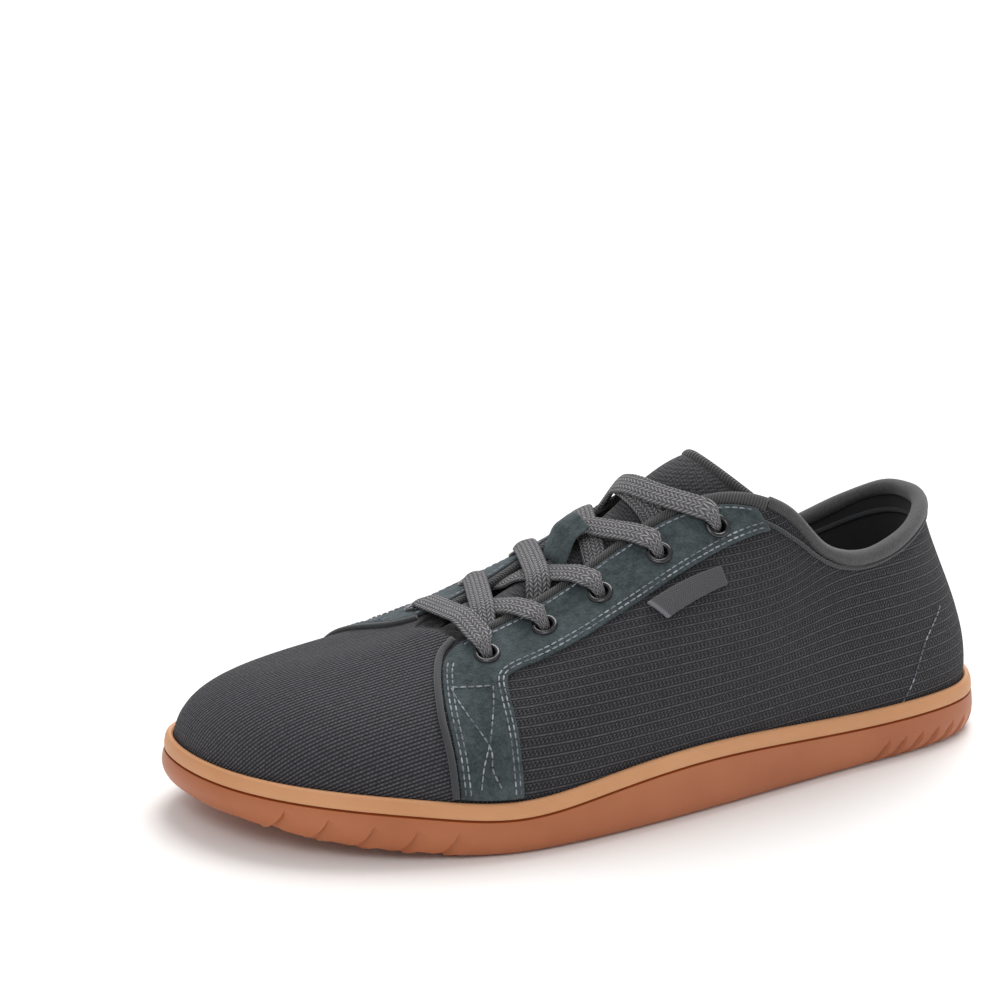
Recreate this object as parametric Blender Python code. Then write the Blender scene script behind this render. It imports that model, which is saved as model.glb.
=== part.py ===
"""A low barefoot shoe for the left foot: a gum rubber cup sole and a knitted lace-up upper.

The shoe stands on its sole along +X, heel to toe, with its outer side towards +Y.
Every curve round the shoe comes from one table of sections, SECTIONS. The cup sole, the upper and all that
is sewn on the upper are worked out from it, so they follow each other when a size changes.
"""

import math
from itertools import product

import bmesh
import bpy
import numpy as np
from mathutils import Vector
from mathutils.bvhtree import BVHTree

# Driving sizes, in metres
LENGTH = 0.275
BALL_WIDTH = 0.107
HEEL_HEIGHT = 0.080
INSTEP_HEIGHT = 0.090
SOLE_SIDE = 0.0215
SOLE_FLOOR = 0.0065
TOE_SPRING = 0.0100
SPRING_START = 0.195
UPPER_WALL = 0.0018
INSOLE_THICKNESS = 0.0030
TONGUE_THICKNESS = 0.0028
TREAD_DEPTH = 0.0020
LIP = 0.0019
LIP_INSET = 0.0015
GROOVE_DROP = 0.0050
GROOVE_HALF = 0.0006
COLLAR_ROLL = 0.0052
TAPE_WIDTH = 0.0042
TAPE_HEIGHT = 0.0026
SUEDE = 0.0011
PIPING = 0.0022
LACE_WIDTH = 0.0070
LACE_THICKNESS = 0.0016
EYELET_OUTER = 0.0080
EYELET_HOLE = 0.0048
EYELET_LIP = 0.0008
LABEL_THICKNESS = 0.0012
LACE_JOIN = 0.0005
LACE_TUCK = 0.0048
TAPE_SINK = 0.0006
KEEPER_LENGTH = 0.0100
KEEPER_WIDTH = 0.0140
GAP = 0.0003

# How finely the round shapes are divided
HALF_RING = 26
RIB_ROWS = 8
SPRING_STEP = 0.010
SHARP = 28
EYELET_SIDES = 10
STRAND_STEPS = 9

# The shoe's sections, a row each, from the heel back along the outer side to the toe and home along the inner
# side. along and across place the sole's outline, as shares of LENGTH and of half BALL_WIDTH, and wall is the
# sole side's height as a share of SOLE_SIDE. The upper's rib starts there and ends at the cut edge of the
# collar or throat: edge_along and edge_across in the same shares, and its height as shares of HEEL_HEIGHT and
# INSTEP_HEIGHT added. rise is the rib's angle at the sole, from lying inwards, and fall its angle at the edge,
# down from level, in degrees. low and top say how far, in shares of the rib's chord, each angle holds.
COLUMNS = (
    "along", "across", "wall", "edge_along", "edge_across", "of_heel", "of_instep",
    "rise", "fall", "low", "top",
)
SECTIONS = (
    (0.000, 0.000, 0.82, 0.077, 0.000, 0.935, 0.000, 93, 72, 0.34, 0.32),
    (0.033, 0.449, 0.82, 0.092, 0.252, 0.920, 0.000, 94, 79, 0.34, 0.32),
    (0.116, 0.645, 0.83, 0.143, 0.458, 0.858, 0.000, 95, 84, 0.33, 0.30),
    (0.225, 0.729, 0.85, 0.222, 0.551, 0.810, 0.000, 96, 86, 0.33, 0.30),
    (0.345, 0.821, 0.95, 0.287, 0.561, 0.410, 0.444, 97, 76, 0.33, 0.30),
    (0.473, 0.921, 1.02, 0.333, 0.495, 0.000, 0.948, 96, 52, 0.34, 0.30),
    (0.600, 0.991, 0.90, 0.440, 0.315, 0.000, 0.966, 93, 40, 0.34, 0.32),
    (0.709, 0.983, 0.76, 0.575, 0.262, 0.000, 0.755, 90, 33, 0.34, 0.34),
    (0.807, 0.847, 0.88, 0.669, 0.234, 0.000, 0.635, 86, 28, 0.33, 0.37),
    (0.905, 0.576, 1.01, 0.707, 0.159, 0.000, 0.610, 80, 23, 0.31, 0.40),
    (0.973, 0.178, 1.07, 0.722, 0.050, 0.000, 0.617, 76, 19, 0.29, 0.42),
    (1.000, -0.318, 1.10, 0.729, -0.056, 0.000, 0.610, 76, 18, 0.29, 0.42),
    (0.985, -0.673, 1.09, 0.725, -0.159, 0.000, 0.600, 78, 20, 0.30, 0.42),
    (0.931, -0.890, 1.03, 0.695, -0.224, 0.000, 0.617, 81, 23, 0.31, 0.40),
    (0.844, -0.987, 0.92, 0.635, -0.252, 0.000, 0.670, 85, 28, 0.32, 0.38),
    (0.731, -1.000, 0.78, 0.550, -0.271, 0.000, 0.785, 88, 34, 0.33, 0.34),
    (0.625, -0.893, 0.88, 0.447, -0.308, 0.000, 0.915, 92, 42, 0.34, 0.32),
    (0.498, -0.740, 1.02, 0.347, -0.486, 0.000, 0.880, 95, 54, 0.34, 0.30),
    (0.353, -0.658, 0.96, 0.287, -0.551, 0.400, 0.290, 96, 76, 0.33, 0.30),
    (0.225, -0.665, 0.85, 0.218, -0.533, 0.690, 0.000, 95, 86, 0.33, 0.30),
    (0.116, -0.647, 0.83, 0.143, -0.449, 0.790, 0.000, 94, 84, 0.33, 0.30),
    (0.033, -0.449, 0.82, 0.092, -0.252, 0.900, 0.000, 93, 79, 0.34, 0.32),
)

# The cup sole's side, a row each from the cup's mouth to the ground: inset from the outline, height above the
# sole's underside as a share of the wall below the groove, and drop below the wall's top, both in metres
SIDE_COLUMNS = ("inset", "share", "drop")
SIDE = (
    (LIP_INSET + LIP, 1.0, 0.0),
    (LIP_INSET, 1.0, 0.0),
    (0.0008, 1.0, GROOVE_DROP - GROOVE_HALF),
    (0.0015, 1.0, GROOVE_DROP),
    (0.0006, 1.0, GROOVE_DROP + GROOVE_HALF),
    (0.0000, 0.55, 0.0),
    (0.0008, 0.22, 0.0),
    (0.0021, 0.06, 0.0),
    (0.0034, 0.0, 0.0),
)


def periodic_spline(knots, values, period, where):
    """Reads a smooth closed curve through the values at the knots."""
    count = len(knots)
    step = np.diff(np.append(knots, knots[0] + period))
    slope = np.diff(np.vstack([values, values[:1]]), axis=0) / step[:, None]
    matrix = np.zeros((count, count))
    for i in range(count):
        matrix[i, i - 1] = step[i]
        matrix[i, i] = 2 * (step[i] + step[i - 1])
        matrix[i, (i + 1) % count] = step[i - 1]
    right = 3 * (step[:, None] * np.roll(slope, 1, axis=0) + np.roll(step, 1)[:, None] * slope)
    tangent = np.linalg.solve(matrix, right)
    where = np.mod(where, period)
    i = np.clip(np.searchsorted(knots, where, side="right") - 1, 0, count - 1)
    h = step[i][:, None]
    s = ((where - knots[i]) / step[i])[:, None]
    j = (i + 1) % count
    return (
        (2 * s**3 - 3 * s**2 + 1) * values[i]
        + (s**3 - 2 * s**2 + s) * h * tangent[i]
        + (3 * s**2 - 2 * s**3) * values[j]
        + (s**3 - s**2) * h * tangent[j]
    )


def unit(vectors):
    return vectors / np.linalg.norm(vectors, axis=-1, keepdims=True)


class Last:
    """The shoe's sections read at any place round the shoe; turn runs from 0 to 1 round the outline."""

    def __init__(self):
        table = np.array(SECTIONS, float)
        self.table = table
        outline = table[:, :2] * [LENGTH, BALL_WIDTH / 2]
        chords = np.linalg.norm(np.roll(outline, -1, axis=0) - outline, axis=1)
        self.knots = np.concatenate([[0], np.cumsum(chords)[:-1]]) / chords.sum()
        fine = self.read(np.linspace(0, 1, 2000, endpoint=False))
        self.low, self.high = fine[:, :2].min(axis=0), fine[:, :2].max(axis=0)

    def read(self, turn):
        return periodic_spline(self.knots, self.table, 1.0, np.atleast_1d(np.asarray(turn, float)))

    def named(self, turn):
        """The sections' columns by name."""
        return dict(zip(COLUMNS, self.read(turn).T))

    def outline(self, turn):
        """Points of the sole's widest outline, fitted exactly to LENGTH and BALL_WIDTH."""
        share = (self.read(turn)[:, :2] - self.low) / (self.high - self.low)
        return share * [LENGTH, BALL_WIDTH] - [0, BALL_WIDTH / 2]

    def inset(self, turn, distance):
        """Points of the outline moved inwards by a distance."""
        turn = np.atleast_1d(np.asarray(turn, float))
        step = 0.002
        tangent = self.outline(turn + step) - self.outline(turn - step)
        normal = unit(np.stack([-tangent[:, 1], tangent[:, 0]], axis=1))
        return self.outline(turn) - normal * distance, normal

    def paired_turns(self, count):
        """Turns whose points come in pairs, one on each side, at the same place along the shoe."""
        turns = np.linspace(0, 1, 4001)
        along = self.outline(turns)[:, 0]
        heel, toe = along[:2000].argmin(), along.argmax()
        target = LENGTH * (1 - np.cos(np.pi * np.arange(count + 1) / count)) / 2
        outer = np.interp(target, along[heel : toe + 1], turns[heel : toe + 1])
        back = np.interp(target[::-1], along[toe:][::-1], turns[toe:][::-1])
        return np.concatenate([outer, back[1:-1]])


def spring(along):
    """How far the sole's underside is lifted at a place along the shoe, towards the toe."""
    share = np.clip((np.asarray(along) - SPRING_START) / (LENGTH - SPRING_START), 0, None)
    return TOE_SPRING * share**1.6


LAST = Last()
TURNS = LAST.paired_turns(HALF_RING)
CENTRE = np.array([LENGTH / 2, 0, 0])
FEATHER_INSET = LIP_INSET + LIP + GAP
# The eyelet's section as a radius and a height above the knit's face, and the hole that it needs
BARREL = EYELET_HOLE / 2 + EYELET_LIP
BARREL_TOP = SUEDE + 2 * GAP
EYELET_PROFILE = (
    (EYELET_HOLE / 2, -UPPER_WALL),
    (BARREL, -UPPER_WALL),
    (BARREL, BARREL_TOP),
    (EYELET_OUTER / 2, BARREL_TOP),
    (BARREL, BARREL_TOP + EYELET_LIP),
)
HOLE_RADIUS = BARREL + GAP


def wall_top(turn):
    return LAST.named(turn)["wall"] * SOLE_SIDE


def upper_surface(turn, share, lift=0.0):
    """Points of the upper's outer face: share runs from 0 at the sole to 1 at the cut edge."""
    turn, share = np.broadcast_arrays(np.asarray(turn, float), np.asarray(share, float))
    shape = turn.shape
    turn, share = turn.ravel(), share.ravel()[:, None]
    row = LAST.named(turn)
    base, normal = LAST.inset(turn, FEATHER_INSET)
    start = np.column_stack([base, wall_top(turn)])
    edge_height = row["of_heel"] * HEEL_HEIGHT + row["of_instep"] * INSTEP_HEIGHT
    end = np.column_stack([row["edge_along"] * LENGTH, row["edge_across"] * BALL_WIDTH / 2, edge_height])
    rise, fall = np.radians(row["rise"]), np.radians(row["fall"])
    inward = np.column_stack([-normal * np.cos(rise)[:, None], np.sin(rise)])
    heading = unit(start[:, :2] - end[:, :2] + normal * 0.010)
    outward = np.column_stack([heading * np.cos(fall)[:, None], -np.sin(fall)])
    chord = np.linalg.norm(end - start, axis=1, keepdims=True)
    first = start + inward * chord * row["low"][:, None]
    last = end + outward * chord * row["top"][:, None]
    s = share
    points = (1 - s) ** 3 * start + 3 * s * (1 - s) ** 2 * first + 3 * s**2 * (1 - s) * last + s**3 * end
    if np.any(lift):
        points = points + upper_normals(turn, share[:, 0]) * np.broadcast_to(lift, shape).ravel()[:, None]
    return points.reshape(*shape, 3)


def upper_normals(turn, share):
    """Outward unit normals of the upper's outer face."""
    e = 0.004
    low, high = np.clip(share - e, 0, 1), np.clip(share + e, 0, 1)
    round_way = upper_surface(turn + e, share) - upper_surface(turn - e, share)
    up_way = upper_surface(turn, high) - upper_surface(turn, low)
    return unit(np.cross(up_way, round_way))


def new_material(name, colour, roughness, metallic=0.0):
    material = bpy.data.materials.new(name)
    material.use_nodes = True
    shader = material.node_tree.nodes["Principled BSDF"]
    shader.inputs["Base Color"].default_value = (*colour, 1.0)
    shader.inputs["Roughness"].default_value = roughness
    shader.inputs["Metallic"].default_value = metallic
    return material


def new_object(name, points, faces, material=None):
    """Makes an object whose faces point out, moved so that the shoe's middle is over the origin."""
    mesh = bpy.data.meshes.new(name)
    mesh.from_pydata((np.asarray(points) - CENTRE).tolist(), [], [list(f) for f in faces])
    work = bmesh.new()
    work.from_mesh(mesh)
    bmesh.ops.recalc_face_normals(work, faces=work.faces[:])
    work.to_mesh(mesh)
    work.free()
    if material:
        mesh.materials.append(material)
    mesh.shade_smooth()
    mesh.set_sharp_from_angle(angle=math.radians(SHARP))
    obj = bpy.data.objects.new(name, mesh)
    bpy.context.collection.objects.link(obj)
    return obj


def ring_faces(count, first, second):
    """Quads between two closed rings whose points start at the given numbers."""
    return [(first + i, first + (i + 1) % count, second + (i + 1) % count, second + i) for i in range(count)]


def ring_triangles(count, first, second):
    """The same band in triangles, so that pieces laid over each other have the same facets."""
    faces = []
    for a, b, c, d in ring_faces(count, first, second):
        faces += [(a, b, c), (a, c, d)]
    return faces


def strip_faces(start, flip=False):
    """Faces that fill a ring of paired points straight across the shoe."""
    count = 2 * HALF_RING
    faces = []
    for i in range(HALF_RING):
        quad = [start + i, start + i + 1, start + (count - i - 1) % count, start + (count - i) % count]
        unique = list(dict.fromkeys(quad))
        faces.append(unique[::-1] if flip else unique)
    return faces


# The tread's sunk panel, a row for each corner, in shares of LENGTH and of half BALL_WIDTH, as its outer side,
# front and inner side run from the heel
PANEL = (
    (0.078, 0.02), (0.086, 0.11), (0.175, 0.31), (0.252, 0.46), (0.262, 0.63), (0.305, 0.665), (0.385, 0.70),
    (0.455, 0.77), (0.545, 0.84), (0.625, 0.87), (0.690, 0.87), (0.740, 0.845), (0.785, 0.76), (0.832, 0.26),
    (0.847, -0.19), (0.855, -0.56), (0.840, -0.81), (0.760, -0.82), (0.680, -0.75), (0.607, -0.65),
    (0.535, -0.53), (0.473, -0.45), (0.407, -0.40), (0.353, -0.40), (0.290, -0.47), (0.217, -0.29),
    (0.147, -0.20), (0.107, -0.12),
)
# The toe's ribs end here: place along the shoe at the outer and at the inner edge, as shares of LENGTH
TOE_RIBS = ((0.812, 0.868), (0.853, 0.893), (0.893, 0.917), (0.931, 0.941), (0.962, 0.966))
HEEL_RIB_COUNT = 8
HEEL_RIB_FIRST = 0.035
HEEL_RIB_PITCH = 0.0265
HEEL_RIBS_ACROSS = 3
RIB_DEPTH = 0.0011
RIB_MARGIN = 0.0007
RIB_STEEP = 0.0004
TOE_RIB_RAMP = 0.0255 * LENGTH
TOE_RIB_BOW = 0.10
TOE_NOTCH = 0.0075
TOE_SLANT = 0.0060
HEEL_RIB_RAMP = 0.0016
HEEL_NOTCH = 0.0075
HEEL_SLANT = 0.0100
NOTCH_REACH = 0.0035
GROOVE_PAST = 0.0022
PANEL_HEEL = ((0.08, 0.18, 0.26), (0.04, 0.28, 0.44))
PYRAMID_STEPS = ((0.0101, -0.0075), (0.0093, 0.0032))
PYRAMID_TIP = 0.0002
PAD_PLACE = (0.425, -0.085)
PAD_SIZE = (0.026, 0.015)
PAD_TURN = -11.0
UNDER = 0.002

# The suede eyestay, a row each from the foot of its front leg up to the throat and along it to the tip: place
# along the shoe, as a share of LENGTH, and share up the rib, at its front or throat edge and at its rear or
# lower edge. Both eyestays follow it, each on its own side
EYESTAY = (
    (0.7690, 0.012, 0.7010, 0.012),
    (0.7692, 0.180, 0.7015, 0.150),
    (0.7648, 0.420, 0.6980, 0.320),
    (0.7528, 0.640, 0.6930, 0.500),
    (0.7338, 0.830, 0.6860, 0.610),
    (0.7020, 0.957, 0.6700, 0.640),
    (0.6650, 0.970, 0.6450, 0.637),
    (0.6250, 0.974, 0.6150, 0.632),
    (0.5700, 0.976, 0.5750, 0.632),
    (0.5050, 0.976, 0.5150, 0.660),
    (0.4450, 0.980, 0.4500, 0.735),
    (0.3950, 0.982, 0.3900, 0.830),
    (0.3560, 0.982, 0.3470, 0.910),
)
# The piped seam between vamp and quarter, from the sole to the throat: place along the shoe, share up the rib
SEAM = (
    (0.7745, 0.015), (0.7750, 0.140), (0.7735, 0.320), (0.7690, 0.475), (0.7545, 0.690), (0.7350, 0.865),
    (0.7120, 0.975),
)
# The eyelets from the toe to the ankle, in the same two shares
EYELETS = ((0.691, 0.805), (0.622, 0.820), (0.556, 0.805), (0.482, 0.830), (0.409, 0.885))
# The tongue from its toe end to its top: place along the shoe as a share of LENGTH, height of its crest as a
# share of INSTEP_HEIGHT, and half width, fall to its side and set back of its side as shares of half BALL_WIDTH
TONGUE = (
    (0.760, 0.530, 0.26, 0.08, 0.00),
    (0.724, 0.572, 0.32, 0.12, 0.00),
    (0.680, 0.620, 0.37, 0.25, 0.00),
    (0.630, 0.688, 0.39, 0.29, 0.00),
    (0.575, 0.768, 0.41, 0.31, 0.00),
    (0.520, 0.862, 0.42, 0.31, 0.00),
    (0.480, 0.950, 0.42, 0.31, 0.02),
    (0.440, 1.050, 0.41, 0.31, 0.10),
    (0.386, 1.115, 0.375, 0.27, 0.29),
)
TONGUE_ROUND = 1.7
# The outer and inner tips of the throat, where its tape meets the collar, as a share of LENGTH
TIP = 0.345
TOE_TAPE = 0.693
# The folded label, from toe to heel: place and share at its upper and lower edge
LABEL = ((0.519, 0.628, 0.502, 0.535), (0.421, 0.725, 0.418, 0.655))
# The lace keeper's middle, as a share of LENGTH; it is sewn down round the crossing nearest to it
KEEPER = 0.549
# The lace's crossings from the toe: whether the upper strand starts on the outer side, and how far both
# strands slip towards the toe over the tongue, as a share of LENGTH
LACING = ((True, 0.0), (True, 0.0), (False, 0.004), (False, 0.024))
# How a strand ends in an eyelet: how far back from its middle as a share of EYELET_HOLE, how far sunk as a
# share of LACE_THICKNESS, and its width as a share of LACE_WIDTH
LACE_END = ((0.5 * EYELET_OUTER / EYELET_HOLE, 0.0, 0.72), (0.22, 0.15, 0.56), (-0.02, 0.75, 0.46))


def side_height(turn, share, drop):
    """Height of a row of the sole's side, before the toe is lifted."""
    place = LAST.outline(turn)
    wall = wall_top(turn) - spring(place[:, 0])
    return np.where(share == 1.0, wall - drop, share * (wall - GROOVE_DROP - GROOVE_HALF))


def sole_blank(name, material):
    """The cup sole with a smooth flat underside."""
    rows = [(LIP_INSET + LIP, None, None), *SIDE]
    rings = []
    for inset, share, drop in rows:
        ring, _ = LAST.inset(TURNS, inset)
        height = np.full(len(TURNS), SOLE_FLOOR) if share is None else side_height(TURNS, share, drop)
        rings.append(np.column_stack([ring, height]))
    faces = strip_faces(0)
    for k in range(len(rings) - 1):
        faces += ring_faces(len(TURNS), k * len(TURNS), (k + 1) * len(TURNS))
    faces += strip_faces((len(rings) - 1) * len(TURNS), True)
    return new_object(name, np.vstack(rings), faces, material)


def prism(name, outline, low, high):
    """A closed prism over an outline seen from above."""
    outline = np.asarray(outline, float)
    count = len(outline)
    points = np.vstack([np.column_stack([outline, np.full(count, z)]) for z in (low, high)])
    faces = ring_faces(count, 0, count) + [tuple(range(count)), tuple(range(2 * count - 1, count - 1, -1))]
    return new_object(name, points, faces)


def as_cutter(obj):
    obj.hide_render = True
    obj.display_type = "WIRE"
    return obj


def combine(obj, other, operation):
    step = obj.modifiers.new(operation.lower(), "BOOLEAN")
    step.operation = operation
    step.object = other
    step.solver = "EXACT"


def bake(obj):
    """Turns an object's modifiers into its own mesh."""
    graph = bpy.context.evaluated_depsgraph_get()
    mesh = bpy.data.meshes.new_from_object(obj.evaluated_get(graph))
    obj.modifiers.clear()
    obj.data = mesh
    return obj


def pyramid_field(name):
    """A slab whose underside is a sheet of four-sided pyramids, point down, on a slanted lattice."""
    first, second = (np.array(step) for step in PYRAMID_STEPS)
    middle = np.array(PAD_PLACE) * [LENGTH, BALL_WIDTH / 2]
    reach = math.ceil(0.9 * LENGTH / np.linalg.norm(first + second))
    side = 2 * reach + 1
    steps = range(-reach, side - reach)
    corners = [middle + i * first + j * second for i in steps for j in steps]
    points = [(*p, TREAD_DEPTH) for p in corners]
    points += [(*p, TREAD_DEPTH + 2 * UNDER) for p in corners]
    faces = []
    for i in range(side - 1):
        for j in range(side - 1):
            a, b, c, d = i * side + j, i * side + j + 1, (i + 1) * side + j + 1, (i + 1) * side + j
            tip = len(points)
            points.append((*(corners[a] + (first + second) / 2), PYRAMID_TIP))
            faces += [(a, b, tip), (b, c, tip), (c, d, tip), (d, a, tip)]
    size = side * side
    edge = [(0, side - 1), (side - 1, size - 1), (size - 1, size - side), (size - side, 0)]
    rim = []
    for (start, end), step in zip(edge, (1, side, -1, -side)):
        rim += list(range(start, end, step))
    faces.append([size + k for k in rim])
    for k, a in enumerate(rim):
        b = rim[(k + 1) % len(rim)]
        faces.append((a, b, size + b, size + a))
    return new_object(name, points, faces)


def pad_outline():
    """The smooth eight-sided pad in the waist of the tread."""
    long, wide = PAD_SIZE[0] / 2, PAD_SIZE[1] / 2
    cut = wide * 0.62
    corners = [(long - cut, wide), (cut - long, wide), (-long, wide - cut), (-long, cut - wide)]
    corners += [(cut - long, -wide), (long - cut, -wide), (long, cut - wide), (long, wide - cut)]
    cosine, sine = math.cos(math.radians(PAD_TURN)), math.sin(math.radians(PAD_TURN))
    turned = [(x * cosine - y * sine, x * sine + y * cosine) for x, y in corners]
    return np.array(turned) + [PAD_PLACE[0] * LENGTH, PAD_PLACE[1] * BALL_WIDTH / 2]


def turn_at(along, outer):
    """The turn of the outline's point at a place along the shoe, on its outer or inner side."""
    half = HALF_RING + 1
    if outer:
        return float(np.interp(along, LAST.outline(TURNS[:half])[:, 0], TURNS[:half]))
    inner = np.append(TURNS[HALF_RING:], 1.0)
    return float(np.interp(-along, -LAST.outline(inner)[:, 0], inner))


def groove(name, path, steep, gentle):
    """A sawtooth cutter along a path on the flat underside; its steep face looks to the heel."""
    path = np.array(path)
    travel = unit(np.gradient(path, axis=0))
    aside = np.column_stack([-travel[:, 1], travel[:, 0], np.zeros(len(path))])
    aside *= np.sign(aside[:, :1].sum())
    spread = (RIB_DEPTH + RIB_MARGIN) / RIB_DEPTH
    flat = np.column_stack([path, np.zeros(len(path))])
    below, above = np.array([0, 0, -RIB_MARGIN]), np.array([0, 0, RIB_DEPTH])
    front, rear = flat + below + aside * steep * spread, flat + below - aside * gentle * spread
    rows = np.stack([front, flat + above, rear], axis=1)
    count = len(path)
    faces = [(0, 1, 2), (3 * count - 1, 3 * count - 2, 3 * count - 3)]
    for i in range(count - 1):
        for k in range(3):
            m = (k + 1) % 3
            faces.append((3 * i + k, 3 * i + m, 3 * i + 3 + m, 3 * i + 3 + k))
    return as_cutter(new_object(name, rows.reshape(-1, 3), faces))


def notch(name, turn, slant, height, steep, gentle):
    """A wedge that carries a groove up the sole's side to a height; slant leans it to the heel."""
    reach = NOTCH_REACH
    spread = reach / RIB_DEPTH
    points = []
    foot_inset = SIDE[-1][SIDE_COLUMNS.index("inset")]
    for here, inset, up in ((turn, foot_inset + RIB_DEPTH, -RIB_MARGIN), (turn + slant, 0.0, height)):
        centre, normal = LAST.inset(here, inset)
        toeward = np.array([normal[0][1], -normal[0][0]]) * -math.copysign(1.0, slant)
        outer = centre[0] + normal[0] * reach
        for place in (outer + toeward * steep * spread, centre[0], outer - toeward * gentle * spread):
            points.append([*place, up])
    faces = [(0, 1, 2), (5, 4, 3), (0, 1, 4, 3), (1, 2, 5, 4), (2, 0, 3, 5)]
    return as_cutter(new_object(name, points, faces))


def rib_cutters():
    """The grooves between the toe's and the heel's ribs, with their notches in the sole's side."""
    cutters = []
    past = np.array([-GROOVE_PAST])
    for k, (outer_along, inner_along) in enumerate(TOE_RIBS):
        outer, inner = turn_at(outer_along * LENGTH, True), turn_at(inner_along * LENGTH, False)
        start, end = LAST.inset(outer, past)[0][0], LAST.inset(inner, past)[0][0]
        bow = TOE_RIB_BOW * np.linalg.norm(end - start)
        path = [start + (end - start) * s + [4 * bow * s * (1 - s), 0] for s in np.linspace(0, 1, 8)]
        cutters.append(groove(f"toe_groove_{k}", path, RIB_STEEP, TOE_RIB_RAMP))
        cutters.append(notch(f"toe_notch_{k}", outer, -TOE_SLANT, TOE_NOTCH, RIB_STEEP, TOE_RIB_RAMP))
        cutters.append(notch(f"toe_inner_notch_{k}", inner, TOE_SLANT, TOE_NOTCH, RIB_STEEP, TOE_RIB_RAMP))
    for k in range(HEEL_RIB_COUNT):
        share = HEEL_RIB_FIRST + k * HEEL_RIB_PITCH
        outer, inner = turn_at(share * LENGTH, True), turn_at(share * LENGTH, False)
        start, end = LAST.inset(outer, past)[0][0], LAST.inset(inner, past)[0][0]
        if k >= HEEL_RIBS_ACROSS:
            end = np.array([share * LENGTH, np.interp(share, PANEL_HEEL[0], PANEL_HEEL[1]) * BALL_WIDTH / 2])
        path = [start, end]
        cutters.append(groove(f"heel_groove_{k}", path, HEEL_RIB_RAMP, HEEL_RIB_RAMP))
        ramps = HEEL_RIB_RAMP, HEEL_RIB_RAMP
        cutters.append(notch(f"heel_notch_{k}", outer, -HEEL_SLANT, HEEL_NOTCH, *ramps))
        if k < HEEL_RIBS_ACROSS:
            cutters.append(notch(f"heel_inner_notch_{k}", inner, HEEL_SLANT, HEEL_NOTCH, *ramps))
    return cutters


def turn_for(along, share, outer):
    """The turn, on one side of the shoe, where the upper's face at a share lies at a place along it."""
    turns = np.linspace(0.0, 0.5, 251) if outer else np.linspace(1.0, 0.5, 251)
    places = upper_surface(turns, np.full(len(turns), share))[:, 0]
    reach = places.argmax() + 1
    return float(np.interp(along * LENGTH, places[:reach], turns[:reach]))


def on_upper(along, share, outer, lift=0.0):
    """A point on the upper and the outward normal there."""
    turn = np.array([turn_for(along, share, outer)])
    share = np.array([share])
    return upper_surface(turn, share, lift)[0], upper_normals(turn, share)[0]


def smooth_rows(rows, count):
    """Reads a table of rows as smooth curves, at evenly spaced rows, by Catmull and Rom's rule."""
    rows = np.asarray(rows, float)
    ends = np.vstack([2 * rows[0] - rows[1], rows, 2 * rows[-1] - rows[-2]])
    where = np.linspace(0, len(rows) - 1, count)
    i = np.clip(where.astype(int), 0, len(rows) - 2)
    s = (where - i)[:, None]
    a, b, c, d = ends[i], ends[i + 1], ends[i + 2], ends[i + 3]
    return 0.5 * (2 * b + (c - a) * s + (2 * a - 5 * b + 4 * c - d) * s**2 + (3 * b - a - 3 * c + d) * s**3)


def slab(name, bottom, top, material):
    """A closed sheet between two grids of points of the same size."""
    bottom, top = np.asarray(bottom), np.asarray(top)
    rows, columns = bottom.shape[:2]
    size = rows * columns
    faces = []
    for i in range(rows - 1):
        for j in range(columns - 1):
            a = i * columns + j
            faces.append((a, a + 1, a + columns + 1, a + columns))
            faces.append((size + a, size + a + columns, size + a + columns + 1, size + a + 1))
    rim = list(range(columns)) + [i * columns + columns - 1 for i in range(1, rows)]
    rim += [(rows - 1) * columns + j for j in range(columns - 2, -1, -1)]
    rim += [i * columns for i in range(rows - 2, 0, -1)]
    for k, a in enumerate(rim):
        b = rim[(k + 1) % len(rim)]
        faces.append((a, b, size + b, size + a))
    return new_object(name, np.vstack([bottom.reshape(-1, 3), top.reshape(-1, 3)]), faces, material)


def tube(name, centres, sides, ups, width, height, material, corners=8):
    """A closed rod of oval section along centres; sides and ups are the oval's two directions."""
    points = []
    for centre, side, up in zip(centres, sides, ups):
        for k in range(corners):
            angle = 2 * math.pi * (k + 0.5) / corners
            points.append(centre + side * math.cos(angle) * width / 2 + up * math.sin(angle) * height / 2)
    count = len(centres)
    faces = [tuple(range(corners)), tuple(range(count * corners - 1, (count - 1) * corners - 1, -1))]
    for i in range(count - 1):
        faces += ring_faces(corners, i * corners, (i + 1) * corners)
    return new_object(name, points, faces, material)


def edge_rod(name, start, end, width, height, sunk, material, corners=8):
    """A rod laid along the upper's cut edge, a gap away from it; sunk lowers it from the outer face."""
    low, high = min(start, end), max(start, end)
    rings = np.concatenate([TURNS - 1, TURNS])
    margin = 0.25 / len(TURNS)
    turns = np.sort([low, *rings[(rings > low + margin) & (rings < high - margin)], high])
    one = np.ones(len(turns))
    edge, before = upper_surface(turns, one), upper_surface(turns, one * 0.98)
    normal = upper_normals(turns, one)
    side = unit(edge - before)
    centres = edge + side * (GAP + width / 2) - normal * sunk
    return tube(name, centres, side, normal, width, height, material, corners)


def sewn_strip(rows, outer, low, high, across, along):
    """Two grids over the upper between the two edges in a table's rows, at two heights above its face."""
    smooth = smooth_rows(rows, along)
    grids = []
    for lift in (low, high):
        grid = []
        for front_along, front_share, rear_along, rear_share in smooth:
            line = []
            for s in np.linspace(0, 1, across + 1):
                along_here = front_along + (rear_along - front_along) * s
                share_here = front_share + (rear_share - front_share) * s
                line.append(on_upper(along_here, share_here, outer, lift)[0])
            grid.append(line)
        grids.append(np.array(grid))
    return grids


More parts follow.
